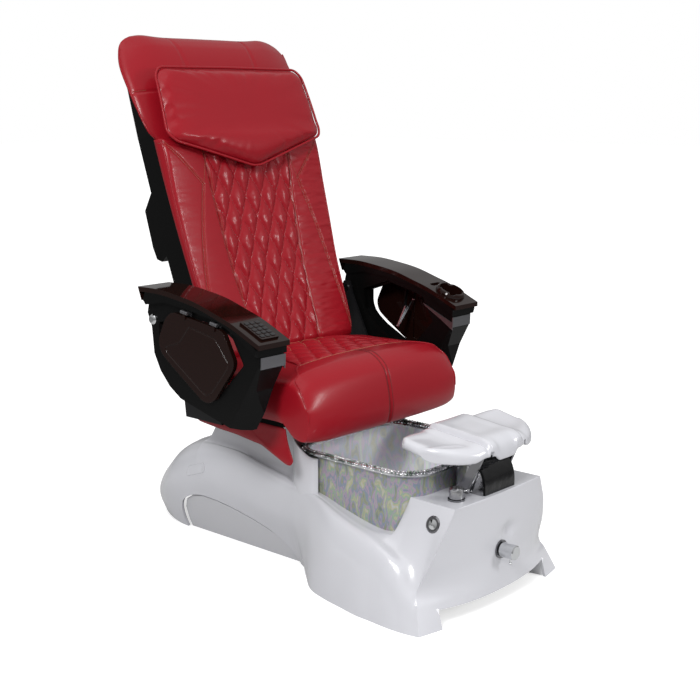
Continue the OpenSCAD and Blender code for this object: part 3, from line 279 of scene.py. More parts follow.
def slab(name, outline, x0, x1, mat, body=None, place=Matrix.Identity(4)):
    """Plate on an outline in the y-z plane, from x0 to x1"""
    verts = [place @ Vector((x, p[0], p[1])) / 1000 for x in (x0, x1) for p in outline]
    obj = piece(name, verts, prism_faces(len(outline)), mat, body)
    bm = bmesh.new()
    bm.from_mesh(obj.data)
    bmesh.ops.recalc_face_normals(bm, faces=bm.faces)
    bm.to_mesh(obj.data)
    bm.free()
    return obj


def round_rect(x0, x1, y0, y1, r, k=16):
    """Outline of a rectangle whose corners have radius r and k steps"""
    out = []
    corners = ((x1 - r, y1 - r, 0), (x0 + r, y1 - r, 90), (x0 + r, y0 + r, 180), (x1 - r, y0 + r, 270))
    for cx, cy, a in corners:
        for i in range(k + 1):
            turn = math.radians(a + 90 * i / k)
            out.append((cx + r * math.cos(turn), cy + r * math.sin(turn)))
    return out


def circle(r, k=64):
    return [(r * math.cos(a), r * math.sin(a)) for a in np.linspace(0, 2 * math.pi, k, endpoint=False)]


def between(p, t):
    """Point at t between the middle two of four, on a smooth curve through them"""
    return 0.5 * (2 * p[1] + (p[2] - p[0]) * t + (2 * p[0] - 5 * p[1] + 4 * p[2] - p[3]) * t**2
                  + (3 * p[1] - p[0] - 3 * p[2] + p[3]) * t**3)


def spline(points, count, closed=True):
    """Smooth line through the points"""
    n = len(points)
    pts = [np.array(p, float) for p in points]
    out = []
    for s in np.linspace(0, n if closed else n - 1, count, endpoint=not closed):
        i = min(int(s), n - 1 if closed else n - 2)
        t = s - i
        p = [pts[(i + k) % n] if closed else pts[min(max(i + k, 0), n - 1)] for k in (-1, 0, 1, 2)]
        out.append(between(p, t))
    return out


sides = (("left", 1), ("right", -1))
upright = turned(90, "X")
# The basin's opening, the access arches in both flanks, the toe gap, the holes of the air button and the fill
# valve, and the inlet's slot in the tail
arch_points = 90
arch_room = 4.6
arch = spline([(430, -30), (434, 30), (424, 78), (404, 112), (366, 135), (318, 146), (262, 144), (204, 134),
               (146, 119), (92, 104), (40, 84), (-6, 52), (-34, 12), (-44, -30)], arch_points, closed=False)
arch_cut = []
for i, p in enumerate(arch):
    along = Vector(arch[min(i + 1, arch_points - 1)]) - Vector(arch[max(i - 1, 0)])
    arch_cut.append(Vector(p) + Vector((along.y, -along.x)).normalized() * arch_room)
in_flank = turned(90, "Z") @ upright
arches = [cutter(arch_cut, -60, 60, Matrix.Translation((s * 136, 0, 0)) @ turned(s * 23, "Y") @ in_flank)
          for side, s in sides]
toe_half, toe_high, toe_rise = 232, 40, 8
toe_top = [(x, toe_high + toe_rise * (x / toe_half) ** 2) for x in np.linspace(toe_half, -toe_half, 25)]
toe_gap = cutter([(toe_half, -5)] + toe_top + [(-toe_half, -5)], 556, 660, upright)
button_hole = cutter(circle(22.3), -3, 20, Matrix.Translation((-203.5, -557, 253)) @ turned(-70, "Y"))
valve_hole = cutter(circle(24.53), 0, 20, Matrix.Translation((4, -614, 147)) @ upright)
basin_well = cutter(round_rect(-205.3, 205.3, -490.3, -77.7, 78), 100, 460)
inlet_slot = cutter(round_rect(-15.3, 15.3, 49.7, 74.3, 1), -700, -600, upright)
cut(base, basin_well, *arches, toe_gap, button_hole, valve_hole, inlet_slot)
round_edges(base, 0.0025, 38, 3)
# The feet take a white far paler than the gel coat they are moulded in: painted light, standing in for the
# light that the moulding's overhang keeps from their inner walls.
foot_painted_light = finish_of("foot_painted_light", (0.93, 0.935, 0.97), 0.3, coat=0.3)
foot_outline = [(233, -603), (262, -560), (262, -480), (214, -480), (219, -534)]
for side, s in sides:
    foot = cutter([(s * x, y) for x, y in foot_outline][::s], 1, 52)
    foot.name = "base_foot_" + side
    foot.data.materials[0] = foot_painted_light
    round_edges(foot, 0.003)
    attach(foot, "base")
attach(base, "base")
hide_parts("base_shell")

flank_tree = base.evaluated_get(bpy.context.evaluated_depsgraph_get())
plate_corners = [(371, 188), (360, 222), (278, 251), (285, 218)]


def rounded_line(corners, radius, k=8):
    """Outline through straight sides and arced corners"""
    pts = [Vector(c) for c in corners]
    out = []
    for i, p in enumerate(pts):
        a, b = pts[i - 1], pts[(i + 1) % len(pts)]
        r = min(radius, (a - p).length * 0.45, (b - p).length * 0.45)
        s, e = p + (a - p).normalized() * r, p + (b - p).normalized() * r
        out += [(1 - t) ** 2 * s + 2 * t * (1 - t) * p + t * t * e for t in np.linspace(0, 1, k).tolist()]
    return out


def on_flank_wall(y, z, off):
    """Point of the near flank at depth y and height z, stood off by off"""
    _, at, normal, _ = flank_tree.ray_cast(Vector((-0.5, y / 1000, z / 1000)), Vector((1, 0, 0)))
    return (at + normal * off / 1000) * 1000


plate_line = rounded_line(plate_corners, 9)
middle = sum(plate_line, Vector((0, 0))) / len(plate_line)
plate_steps = ((1.0, -1.0), (1.0, 1.2), (0.97, 1.8), (0.93, 1.8), (0.91, 1.3), (0.6, 1.3), (0.3, 1.3),
               (0.02, 1.3))
plate_rings = [[on_flank_wall(*(middle + (p - middle) * s), off) for p in plate_line]
               for s, off in plate_steps]
lofted("label_plate", plate_rings, gel_coat, "base", flip=True)


def ease(a, b, x):
    """Goes smoothly from 0 at a to 1 at b"""
    t = min(max((x - a) / (b - a), 0), 1)
    return t * t * (3 - 2 * t)


# Low wall of the same moulding that wraps each rear corner of the basin
wrap = spline([(-158, -36), (-180, -50), (-206, -76), (-221, -106), (-226, -138), (-225, -164), (-216, -176)],
              30, closed=False)
wall_low = 232
for side, sign in (("right", 1), ("left", -1)):
    rows = []
    for x, y in wrap:
        top = 350 + 42 * ease(-176, -50, y)
        lip = [(0, 0, wall_low), (0, 0, top - 6), (1.5, 0.8, top - 1.5), (4, 2, top), (7, 4, top - 2),
               (8, 4.5, wall_low)]
        rows.append([(sign * (x + dx), y + dy, z) for dx, dy, z in lip])
    wall = lofted("basin_wall_" + side, rows, gel_coat, "base", angle=50, flip=sign < 0)

# ---- side covers ----
# A flat cover of the same gel-coated glass fibre closes each service arch.
# It lies in the moulding's own wall and is screwed on from behind.
cover_white = finish_of("cover_white", (0.585, 0.585, 0.615), 0.24, coat=0.4)
paint("side_panel_right side_panel_left", cover_white, 0.0015)

# ---- foot basin ----
# Cast acrylic bowl with mother-of-pearl flake under a clear coat.
# It hangs in the moulding by the rolled rim, which is set with facetted beads.
pearl = finish_of("pearl", (0.4, 0.42, 0.41), 0.38, metal=0.05, coat=0.22, spec=0.35)


def flaked(mat, stretch, scale, depth, tones):
    """Colours a material by drifting flakes, longer one way, and dents it with them"""
    nt = mat.node_tree
    bsdf = nt.nodes["Principled BSDF"]
    coord = node(nt, "TexCoord")
    place = node(nt, "Mapping", Scale=stretch)
    drift = node(nt, "TexNoise", Scale=scale, Detail=3, Distortion=0.8)
    fleck = node(nt, "TexVoronoi", Scale=scale * 9)
    split = node(nt, "SeparateColor")
    tint = node(nt, "ValToRGB")
    for i, (at, colour) in enumerate(tones):
        e = tint.color_ramp.elements[i] if i < 2 else tint.color_ramp.elements.new(at)
        e.position, e.color = at, (*colour, 1)
    dent = node(nt, "Bump", Strength=0.6, Distance=depth)
    wired(nt, (coord, "Object", place, "Vector"), (place, "Vector", drift, "Vector"),
          (place, "Vector", fleck, "Vector"), (drift, "Fac", tint, "Fac"),
          (tint, "Color", bsdf, "Base Color"), (fleck, "Color", split, "Color"),
          (split, "Red", dent, "Height"), (dent, "Normal", bsdf, "Normal"))


flaked(pearl, (1, 1, 0.5), 48, 0.0012, [
    (0.30, (0.18, 0.22, 0.21)), (0.72, (0.44, 0.47, 0.50)), (0.38, (0.30, 0.31, 0.20)),
    (0.44, (0.20, 0.26, 0.34)), (0.50, (0.40, 0.29, 0.38)), (0.56, (0.24, 0.36, 0.28)),
    (0.62, (0.42, 0.40, 0.26))])
glitter = finish_of("glitter", (0.6, 0.62, 0.6), 0.10, metal=1.0, coat=1.0)
flaked(glitter, (1, 1, 1), 16, 0.012, [
    (0.35, (0.22, 0.26, 0.25)), (0.65, (0.9, 0.92, 0.9)), (0.5, (0.55, 0.55, 0.58))])


basin_half, basin_front, basin_rear, basin_corner, corner_steps = 205, -490, -78, 78, 16
rim_from = 0.349  # metres above the floor, where the rolled rim begins


def basin_ring(half, grow, z):
    """Level outline of the basin: half as wide, and grown by a wall or a rim"""
    d = basin_half - half
    outline = round_rect(-half - grow, half + grow, basin_front - grow + d, basin_rear + grow - d,
                         max(basin_corner + grow - d * 0.4, 8), corner_steps)
    return [(x, y, z) for x, y in outline]


basin_profile = [
    (150, 0, 112), (168, 0, 112.5), (182, 0, 121), (195, 0, 136), (203, 0, 156), (205, 0, 180), (205, 0, 300),
    (205, 0, 342), (205, 3, 350), (205, 8, 353), (205, 11, 356), (205, 12, 359.5), (205, 10.5, 363),
    (205, 7, 365.5), (205, 3, 366.2), (205, -1, 364.8), (205, -4.5, 360), (205, -6, 352), (205, -6, 300),
    (205, -6, 180), (203, -6, 162), (195, -6, 143), (182, -6, 128), (168, -6, 120.5), (150, -6, 120)]
basin = lofted("foot_basin", [basin_ring(*p) for p in basin_profile], pearl, "base", flip=True, angle=80)
# The basin's inside takes a paler pearl than its outside: partly its own greener, clearer tint, partly
# painted light that makes up for the shade the seat casts into the bowl.
pearl_inside_lit = finish_of("pearl_inside_lit", (0.6, 0.62, 0.61), 0.3, coat=0.5)
flaked(pearl_inside_lit, (1, 1, 0.45), 34, 0.0012, [
    (0.30, (0.62, 0.66, 0.64)), (0.72, (0.97, 0.99, 0.99)), (0.38, (0.78, 0.80, 0.68)),
    (0.46, (0.72, 0.80, 0.88)), (0.54, (0.90, 0.80, 0.93)), (0.62, (0.80, 0.93, 0.82))])
basin.data.materials.append(glitter)
basin.data.materials.append(pearl_inside_lit)
ring = len(basin_ring(basin_half, 0, 0))
outer_rows = 16  # rows of faces from the floor of the basin up its outside and over the rim
outer_faces, underside = outer_rows * ring, (len(basin_profile) - 1) * ring
for face in basin.data.polygons:
    inside = face.index > outer_faces and face.index != underside
    face.material_index = 1 if face.center.z > rim_from else 2 if inside else 0
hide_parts("tub")

chrome = finish_of("chrome", (0.66, 0.67, 0.68), 0.07, metal=1.0)
steel = finish_of("steel", (0.52, 0.53, 0.55), 0.24, metal=1.0, grain=0.1, scale=120)
dark_paint = finish_of("dark_paint", (0.006, 0.006, 0.007), 0.42, spec=0.3, grain=0.15, scale=500)
grey_plastic = finish_of("grey_plastic", (0.30, 0.31, 0.32), 0.4, grain=0.1, scale=400)
rubber = finish_of("rubber", (0.015, 0.015, 0.015), 0.7, grain=0.2, scale=700)
paint("tub_drain", chrome, 0.0008)
paint("tub_cradle seat_rails seat_carriage back_frame", dark_paint, 0.001)
paint("jet_housing", gel_coat, 0.0015)
paint("jet_impeller", grey_plastic, 0.0005)
paint("jet_motor pump_motor recline_motor slide_barrel power_inlet", rubber, 0.0008)
paint("slide_rod massage_rails", steel, 0.0004)

# ---- waterfall spout ----
# Chromed cheeks and throat with a gloss black band bent over them.
# It stands on the control box and is fixed from below.
gloss_black = finish_of("gloss_black", (0.002, 0.002, 0.0025), 0.06, spec=0.3, coat=0.2,
                        grain=0.5, scale=22, depth=0.006)
spout_chrome = finish_of("spout_chrome", (0.34, 0.34, 0.35), 0.08, metal=1.0,
                         grain=0.5, scale=16, depth=0.006)
paint("spout_body", spout_chrome, 0.0008)
paint("spout_cover", gloss_black, 0.0005)

# ---- controls ----
# Chromed mixer knob on the box top, air button in its bezel on the flank and the fill valve in front.
# All are plated brass or plastic, pushed through the moulding and held by a nut behind it.
dark_chrome = finish_of("dark_chrome", (0.20, 0.20, 0.21), 0.1, metal=1.0)
paint("air_button valve_handle", chrome, 0.0006)
knob_chrome = finish_of("knob_chrome", (0.36, 0.36, 0.37), 0.07, metal=1.0, grain=0.6, scale=45, depth=0.004)
paint("mixer_knob", knob_chrome, 0.0006)
paint("mixer_flange button_bezel valve_flange", dark_chrome, 0.0006)

# ---- foot rest ----
# Two dished pads and the saddle between them, moulded in one piece of the base's white.
# It turns on a chromed pin in the heads of two legs that stand on the control box.
paint("footrest_bracket", dark_chrome, 0.001)

rest_half = 212
rest_rows = [[0, [-636, -434]], [60, [-634, -432]], [78, [-630, -430]], [110, [-624, -430]],
             [150, [-606, -434]], [180, [-580, -441]], [200, [-548, -452]], [rest_half, [-520, -468]]]
pivot_y, pivot_z = -600, 414
leg_slots = (-68, 84)


def rest_ring(x):
    """Section of the foot rest at x: saddle in the middle, then a dished pad to a thin round end"""
    ax = abs(x)
    f, r = guide(rest_rows, ax)
    top = 440 + 14 * (1 - ease(66, 73, ax)) + 4 * ease(73, 82, ax) * (1 - ease(84, 110, ax))
    top += 4 * ease(110, 205, ax)
    low = 415 - 8 * ease(80, 120, ax) + 5 * ease(130, 205, ax)
    mid, tongue = (f + r) / 2, 14 * (1 - ease(28, 52, ax))
    dish = 6 * math.sin(math.pi * min(max((ax - 72) / 140, 0), 1)) + 2 * (1 - ease(30, 62, ax))
    k = ((r - f) / 200) ** 1.3
    loop = spline([(r, low + 6), (r + 1 * k, low + 13), (r - 7 * k, top - 5), (r - 28 * k, top),
                   (r - 62 * k, top - dish * 0.7), (mid, top - dish), (f + 70 * k, top - dish * 0.7 - 1),
                   (f + 32 * k, top - 1), (f + 10 * k, top - 8 - tongue * 0.4), (f + 1, top - 19 - tongue),
                   (f, low - tongue), (f + 6 * k, low - 5 - tongue), (f + 16 * k, low - tongue * 0.5),
                   (mid, low), (r - 10 * k, low + 1)], 64)
    shut = math.sqrt(max(1 - max(0, (ax - 192) / 20) ** 2, 0.02))
    return [(x, p[0], 429 + (p[1] - 429) * shut + 15 * ease(f - 10, r + 10, p[0])) for p in loop]


rest_xs = [rest_half * math.sin(t) for t in np.linspace(-math.pi / 2, math.pi / 2, 161)]
rest = lofted("foot_rest", [rest_ring(x) for x in rest_xs], gel_coat, angle=60, flip=True)
leg_head = [(pivot_y + 14 * math.cos(a), pivot_z + 14 * math.sin(a))
            for a in np.linspace(0, math.pi * 0.75, 12)]
slot_line = [(-660, 384), (-600, 384), (-586, 384), (-570, 384), (-570, 414)] + leg_head
slot_line += [(-612, 424), (-660, 424)]
cut(rest, *[slab("cutter", slot_line, x - 2, x + 10, gel_coat) for x in leg_slots])
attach(rest, "footrest")
rest_pin = cutter(circle(5, 24), -71, 95, Matrix.Translation((0, pivot_y, pivot_z)) @ turned(90, "Y"))
rest_pin.name = "foot_rest_pin"
rest_pin.data.materials[0] = chrome
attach(rest_pin, "footrest")
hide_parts("footrest_pad")

# ---- leather covers ----
# Every cover is glossy red upholstery leather over foam.
# It is sewn with a darker thread and piped at its edges.
leather = finish_of("leather", (0.285, 0.005, 0.012), 0.36, spec=0.22, coat=0.14, coat_rough=0.14, grain=0.25,
                    scale=900, depth=0.0003)
thread = finish_of("thread", (0.30, 0.09, 0.05), 0.6, grain=0.3, scale=900)
dark_thread = finish_of("dark_thread", (0.06, 0.012, 0.010), 0.6, grain=0.3, scale=900)
back_slope = Matrix.Translation((0, 134, 604)) @ turned(-17.74, "X")


def leant(p):
    """Place on the leaning back of a point given across, deep and up its slope"""
    return back_slope @ Vector(p)


def tube(name, points, radius, mat, body=None, closed=False):
    """Round bead along points in millimetres"""
    curve = bpy.data.curves.new(name, "CURVE")
    curve.dimensions = "3D"
    curve.bevel_depth, curve.bevel_resolution, curve.use_fill_caps = radius / 1000, 2, True
    line = curve.splines.new("POLY")
    line.points.add(len(points) - 1)
    for p, q in zip(line.points, points):
        p.co = (*(Vector(q) / 1000), 1)
    line.use_cyclic_u = closed
    holder = bpy.data.objects.new(name, curve)
    bpy.context.scene.collection.objects.link(holder)
    bpy.context.view_layer.update()
    mesh = bpy.data.meshes.new_from_object(holder.evaluated_get(bpy.context.evaluated_depsgraph_get()))
    bpy.data.objects.remove(holder)
    obj = bpy.data.objects.new(name, mesh)
    bpy.context.scene.collection.objects.link(obj)
    obj.data.materials.clear()
    obj.data.materials.append(mat)
    shaded(obj)
    if body:
        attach(obj, body)
    return obj


def sewn(name, paths, body, step=5.0, size=0.55, mat=thread, bead=False):
    """Row of stitches or round beads along each path, placed by geometry nodes"""
    mesh = bpy.data.meshes.new(name)
    verts, edges = [], []
    for path in paths:
        edges += [(len(verts) + i, len(verts) + i + 1) for i in range(len(path) - 1)]
        verts += [tuple(Vector(p) / 1000) for p in path]
    mesh.from_pydata(verts, edges, [])
    obj = bpy.data.objects.new(name, mesh)
    bpy.context.scene.collection.objects.link(obj)
    tree = bpy.data.node_groups.new(name, "GeometryNodeTree")
    tree.interface.new_socket("Seams", in_out="INPUT", socket_type="NodeSocketGeometry")
    for label, value in (("Stitch Length", step / 1000), ("Thread Radius", size / 1000)):
        tree.interface.new_socket(label, in_out="INPUT", socket_type="NodeSocketFloat").default_value = value
    tree.interface.new_socket("Stitches", in_out="OUTPUT", socket_type="NodeSocketGeometry")
    new = tree.nodes.new
    start, end = new("NodeGroupInput"), new("NodeGroupOutput")
    to_curve, resample = new("GeometryNodeMeshToCurve"), new("GeometryNodeResampleCurve")
    resample.mode = "LENGTH"
    tangent, align = new("GeometryNodeInputTangent"), new("FunctionNodeAlignRotationToVector")
    align.axis = "Z"
    stitch = new("GeometryNodeMeshIcoSphere" if bead else "GeometryNodeMeshCylinder")
    inst = new("GeometryNodeInstanceOnPoints")
    stitch.inputs["Subdivisions" if bead else "Vertices"].default_value = 1 if bead else 6
    most = new("ShaderNodeMath")
    most.operation = "MULTIPLY"
    most.inputs[1].default_value = 0.72
    real, coat = new("GeometryNodeRealizeInstances"), new("GeometryNodeSetMaterial")
    coat.inputs["Material"].default_value = mat
    wired(tree, (start, 0, to_curve, 0), (to_curve, 0, resample, "Curve"), (start, 1, resample, "Length"),
          (start, 1, most, 0), (start, 2, stitch, "Radius"))
    if not bead:
        wired(tree, (most, 0, stitch, "Depth"))
    wired(tree, (tangent, 0, align, "Vector"), (resample, 0, inst, "Points"), (stitch, 0, inst, "Instance"),
          (align, 0, inst, "Rotation"), (inst, 0, real, 0), (real, 0, coat, 0), (coat, 0, end, 0))
    obj.modifiers.new("Stitching", "NODES").node_group = tree
    apply_mods(obj)
    shaded(obj)
    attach(obj, body)
    return obj


def puff(a, b):
    """Height of a quilted diamond, 0 on its sewn lines"""
    return (abs(math.sin(math.pi * a)) * abs(math.sin(math.pi * b))) ** 0.42


def ridge(d, w):
    """1 on a line, fading to 0 a few widths w away from it"""
    return math.exp(-(d / w) ** 2)


def fold(x, z, seed, across=0.012, along=0.07):
    """Soft creases that run across z"""
    coarse = noise.noise(Vector((x * across, z * along, seed)))
    return coarse + 0.5 * noise.noise(Vector((x * across * 2, z * along * 2.3, seed + 7)))


# Facetted beads set along the basin's rim
# Their metal is coloured in patches from near black to white: painted glints and painted dark reflections,
# standing in for the sparkle of their facets.
bead_glints = finish_of("bead_glints", (0.75, 0.77, 0.76), 0.12, metal=0.8)
flaked(bead_glints, (1, 1, 1), 60, 0.002, [
    (0.36, (0.03, 0.04, 0.035)), (0.62, (1.0, 1.0, 1.0)), (0.44, (0.20, 0.27, 0.22)),
    (0.50, (0.62, 0.60, 0.66))])
bead_step, bead_size = 9.6, 4.4
for i, (grow, z) in enumerate(((-3.6, 362.0), (4.0, 366.5), (11.0, 362.0))):
    line = basin_ring(basin_half, grow, z)
    sewn("rim_beads_%d" % i, [line + line[:1]], "base", bead_step, bead_size, bead_glints, bead=True)

# ---- seat cushion ----
# Foam block whose front rolls over the pan's edge.
# Its top is quilted in a tapering panel, the front roll is plain and sewn in two halves.
seat_half, seat_low, seat_front, seat_top = 312, 460.3, -248, 603
diamond_w, seat_diamond_h, back_diamond_h = 62, 84, 124
top_from, top_step = -164, 40  # depths of the section's points along the flat top
panel_front, panel_floor = -112, 540  # the quilting begins behind this depth and above this height
seat_puff, seat_sink = 8.5, 6.5
seam_dip, seam_w = 3.0, 5


def seat_section(u):
    """Outline of the seat at u across, from under the front roll over the top and back along the underside"""
    x = u * seat_half
    e, pull = 1 - abs(u) ** 14, 8 * abs(u) ** 10
    top, f, low = seat_top - 23 * abs(u) ** 2.5 - 12 * (1 - e), seat_front + 9 * u * u + pull, seat_low
    roll = [(f + 44 + pull, low - 38 + pull), (f + 12, low - 44 + pull), (f - 2 + pull * 0.2, low - 8),
            (f, low + 40), (f + 14, top - 44), (f + 34, top - 16), (f + 62, top - 3 + 5 * e)]
    flat = [(top_from + i * top_step, top + 6 * e - i) for i in range(7)]
    rear = [(132, top - 9), (162 - 4 * e, top - 26), (156, low + 8), (138 - pull, low), (0, low),
            (f + 84, low)]
    return [(x, y, z) for y, z in roll + flat + rear]


def panel_edge(y):
    """Half width of the quilted panel at depth y"""
    return 218 - 92 * ease(panel_front, 130, y)


def seat_at(u, k, lift=0.0):
    """Point of the cover at u across and k along the section, quilting included"""
    s = seat_section(u)
    n = len(s)
    i = int(k) % n
    t = k - int(k)
    p = [np.array(s[(i + d) % n]) for d in (-1, 0, 1, 2)]
    x, y, z = between(p, t)
    half = panel_edge(y)
    behind = ease(-118, -106, y)
    inside = ease(0, 10, half - abs(x)) * behind * (z > panel_floor)
    across, along = x / diamond_w, y / seat_diamond_h
    z += inside * (seat_puff * puff(across + along, across - along) - seat_sink)
    if panel_floor < z:
        z -= seam_dip * (1 - inside) * ridge(abs(x) - half, seam_w) * behind
        z -= seam_dip * ridge(y + 114, seam_w) * (abs(x) < 222)
    if k < 8.4:  # seam down the middle of the front roll
        y += 5.5 * ridge(x, seam_w) * ease(8.4, 7.8, k)
    return (x, y, z + lift)


seat_spans = ((0, 7, 56), (7, 14, 110), (14, 20, 24))
seat_ks = np.concatenate([np.linspace(a, b, n, endpoint=False) for a, b, n in seat_spans])
seat_rings = [[seat_at(u, k) for k in seat_ks] for u in np.linspace(-1, 1, 181)]


def stuffed(obj, voxel=0.005, pressure=4.0, most=0.006):
    """Blows the cover up as cloth over its filling, and keeps every point within most of where it lay"""
    modify(obj, "REMESH", mode="VOXEL", voxel_size=voxel, use_smooth_shade=True)
    apply_mods(obj)
    before = np.array([v.co for v in obj.data.vertices])
    cloth = modify(obj, "CLOTH")
    cloth.settings.use_pressure = True
    cloth.settings.uniform_pressure_force = pressure
    cloth.settings.effector_weights.gravity = 0
    cloth.settings.quality = 4
    cloth.point_cache.frame_start, cloth.point_cache.frame_end = 1, 20
    for f in range(1, 21):
        bpy.context.scene.frame_set(f)
    apply_mods(obj)
    bpy.context.scene.frame_set(1)
    moved = np.array([v.co for v in obj.data.vertices]) - before
    far = np.linalg.norm(moved, axis=1, keepdims=True)
    kept = before + moved * np.minimum(1, most / np.maximum(far, 1e-9))
    obj.data.vertices.foreach_set("co", kept.ravel())
    modify(obj, "SMOOTH", factor=0.5, iterations=3)
    modify(obj, "SUBSURF", levels=1, render_levels=1)
    apply_mods(obj)
    shaded(obj)
    return obj


def dome(rings, end, out, count=4):
    """Rings that close an end to a soft point"""
    centre = np.mean([np.array(p) for p in rings[end]], axis=0)
    more = []
    for i in range(1, count + 1):
        a = math.pi / 2 * i / count
        shrink, push = max(math.cos(a), 0.01), np.array(out) * math.sin(a)
        more.append([centre + (np.array(p) - centre) * shrink + push for p in rings[end]])
    return more


seat_rings = dome(seat_rings, 0, (-4, 0, 0))[::-1] + seat_rings + dome(seat_rings, -1, (4, 0, 0))
seat = lofted("seat_cover", seat_rings, leather, "seat", flip=True, angle=60)
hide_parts("seat_cushion")


def seat_path(keys, count=60, lift=0.4):
    """Line on the seat through (u, k) keys"""
    return [seat_at(u, k, lift) for u, k in spline(keys, count, closed=False)]


def seat_quilting(sign):
    """Sewn lines of one diagonal over the quilted panel"""
    lines = []
    for n in range(-6, 7):
        line = []
        for y in np.linspace(-104, 118, 60):
            x = sign * diamond_w * (n - y / seat_diamond_h)
            if abs(x) < panel_edge(y) - 8:
                line.append(seat_at(x / seat_half, 7 + (y - top_from) / top_step, 0.5))
        if len(line) > 2:
            lines.append(line)
    return lines


pale_thread = finish_of("pale_thread", (0.42, 0.17, 0.10), 0.6, grain=0.3, scale=900)
sewn("seat_quilting", seat_quilting(1) + seat_quilting(-1), "seat", 4.0, 0.6, pale_thread)
# Seams as (u, k) on the cover: along the panel's front, down the front roll's sides, along the panel's sides
front_seam = [(-0.70, 8.3), (-0.35, 8.25), (0, 8.2), (0.35, 8.25), (0.70, 8.3)]
roll_seam = [(0.70, 8.3), (0.84, 7.5), (0.94, 6.2), (0.985, 4.6), (0.995, 2.4)]
side_seam = [(0.70, 8.3), (0.66, 9.4), (0.60, 10.8), (0.52, 12.4), (0.44, 13.8)]
for side, s in sides:
    tube("seat_front_piping_" + side, seat_path([(s * u, k) for u, k in roll_seam]), 2.0, leather, "seat")
    tube("seat_side_piping_" + side, seat_path([(s * u, k) for u, k in side_seam]), 1.8, leather, "seat")
tube("seat_cross_piping", seat_path(front_seam), 2.0, leather, "seat")
middle_stitches = [seat_path([(s * 0.024, k) for k in (8.1, 6, 4, 1.2)], 80) for side, s in sides]
sewn("seat_front_stitches", middle_stitches, "seat", 5.0, 0.9, dark_thread)
cross_stitches = seat_path([(u, k - 0.14) for u, k in front_seam], 80)
sewn("seat_cross_stitches", [cross_stitches], "seat", 5.0, 0.7, pale_thread)

# ---- seat flaps ----
# Leather flaps hung from the pan cover the slide on either side.
# The right flap's front corner hangs lower than the left one's.
flap_fronts = {-1: [(-140, 388), (-158, 356), (-148, 344), (-134, 345), (-40, 381)],
               1: [(-132, 405), (-122, 397), (-40, 391)]}
flap_rear = [(60, 392), (130, 396), (214, 404), (235, 424), (238, 442)]
flap_middle = Vector((0, 416))
flap_x, flap_swell = 289, 4.6


def flap_outline(sign):
    """Outline of a flap with rounded corners, in short steps"""
    line = rounded_line([(-128, 442), (-130, 422)] + flap_fronts[sign] + flap_rear, 12)
    return [p.lerp(line[(i + 1) % len(line)], t) for i, p in enumerate(line) for t in (0, 0.25, 0.5, 0.75)]


def flap_point(p, s, out, sign):
    """Point of a flap: drawn towards its middle by s, on its outer or inner face"""
    q = flap_middle + (p - flap_middle) * s
    curl = 3.0 * ease(400, 350, q.y) + 1.2 * noise.noise(Vector((q.x * 0.02, q.y * 0.03, 2.0)))
    return (sign * (flap_x + (1 if out else -0.7) * flap_swell * max(1 - s**6, 0) ** 0.5 + curl), q.x, q.y)


flap_steps = (0.03, 0.3, 0.55, 0.75, 0.9, 0.97, 0.993)
carrier_bars = ((30, 50), (170, 196))  # depths of the carriage's cross bars, which the flaps clear
for side, sign in sides[::-1]:
    flap_line = flap_outline(sign)
    rows = [[flap_point(p, t, False, sign) for p in flap_line] for t in flap_steps + (1.0,)]
    rows += [[flap_point(p, t, True, sign) for p in flap_line] for t in flap_steps[::-1]]
    flap = lofted("seat_flap_" + side, rows, leather, angle=60, flip=sign < 0)
    notches = [[(y0 - 1, 424), (y1 + 1, 424), (y1 + 1, 460), (y0 - 1, 460)] for y0, y1 in carrier_bars]
    cut(flap, *[slab("cutter", notch, sign * 270, sign * 310, leather) for notch in notches])
    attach(flap, "seat")
    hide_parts("seat_skirt_" + side)
    hem = [flap_point(p, 1.0, True, sign) for p in flap_line if p.y < 439]
    tube("seat_flap_piping_" + side, hem, 2.0, leather, "seat")
paint("seat_pan", finish_of("pan_black", (0.0015, 0.0015, 0.0015), 0.7, spec=0.06), 0.002)

# ---- back cushion ----
# Foam pad with a quilted centre, plain side bolsters and a yoke at the shoulders; piping down both edges.
# Its outline is given level by level up the slope, in frame coordinates before it is leant back.
back_low, back_high, yoke_low, yoke_x = -22, 613, 477, 190
yoke_wide, yoke_high = 119, 128
back_puff, back_sink = 12, 7
bolster_swell, rim_round = 5, 16
face_line = [[0, -2], [110, 8], [226, 15], [345, 13], [460, 8], [562, -1], [614, 1]]
back_half = [[0, 276], [60, 284], [210, 291], [340, 300], [470, 306], [616, 309]]
panel_half = [[0, 124], [220, 142], [400, 154], [560, 166], [620, 170]]
seam_half = [[0, 270], [116, 262], [206, 252], [329, 230], [477, 190]]


def back_face(x, z):
    """Depth of the cover at x across and z up the slope"""
    h, c, p = (float(guide(k, z)) for k in (back_half, face_line, panel_half))
    s = float(guide(seam_half, z)) if z < yoke_low else yoke_x + (z - yoke_low) * yoke_wide / yoke_high
    ax = abs(x)
    y = c
    if ax < p:
        across, up = x / diamond_w, z / back_diamond_h
        y = c + back_sink - back_puff * puff(across + up, across - up) + 1.6 * fold(x, z, 5.0, 0.035, 0.03)
    rim = ease(0, 7, abs(ax - p))
    y = y * rim + (c + 6.5) * (1 - rim)
    if ax >= p:
        y -= bolster_swell * math.sin(math.pi * min((ax - p) / max(h - p, 1), 1)) ** 0.7
        y += 3.5 * ridge(ax - s, 4)
        wrinkle = ease(p, p + 20, ax) * ease(h, h - 14, ax)
        y += wrinkle * (2.0 if x > 0 else 0.45) * fold(x, z, 3.0 if x > 0 else 9.0, 0.014, 0.05)
    edge = max(0, (ax - (h - rim_round)) / rim_round)
    y += (20 - y) * (1 - math.sqrt(max(1 - edge**2, 0)))
    return y


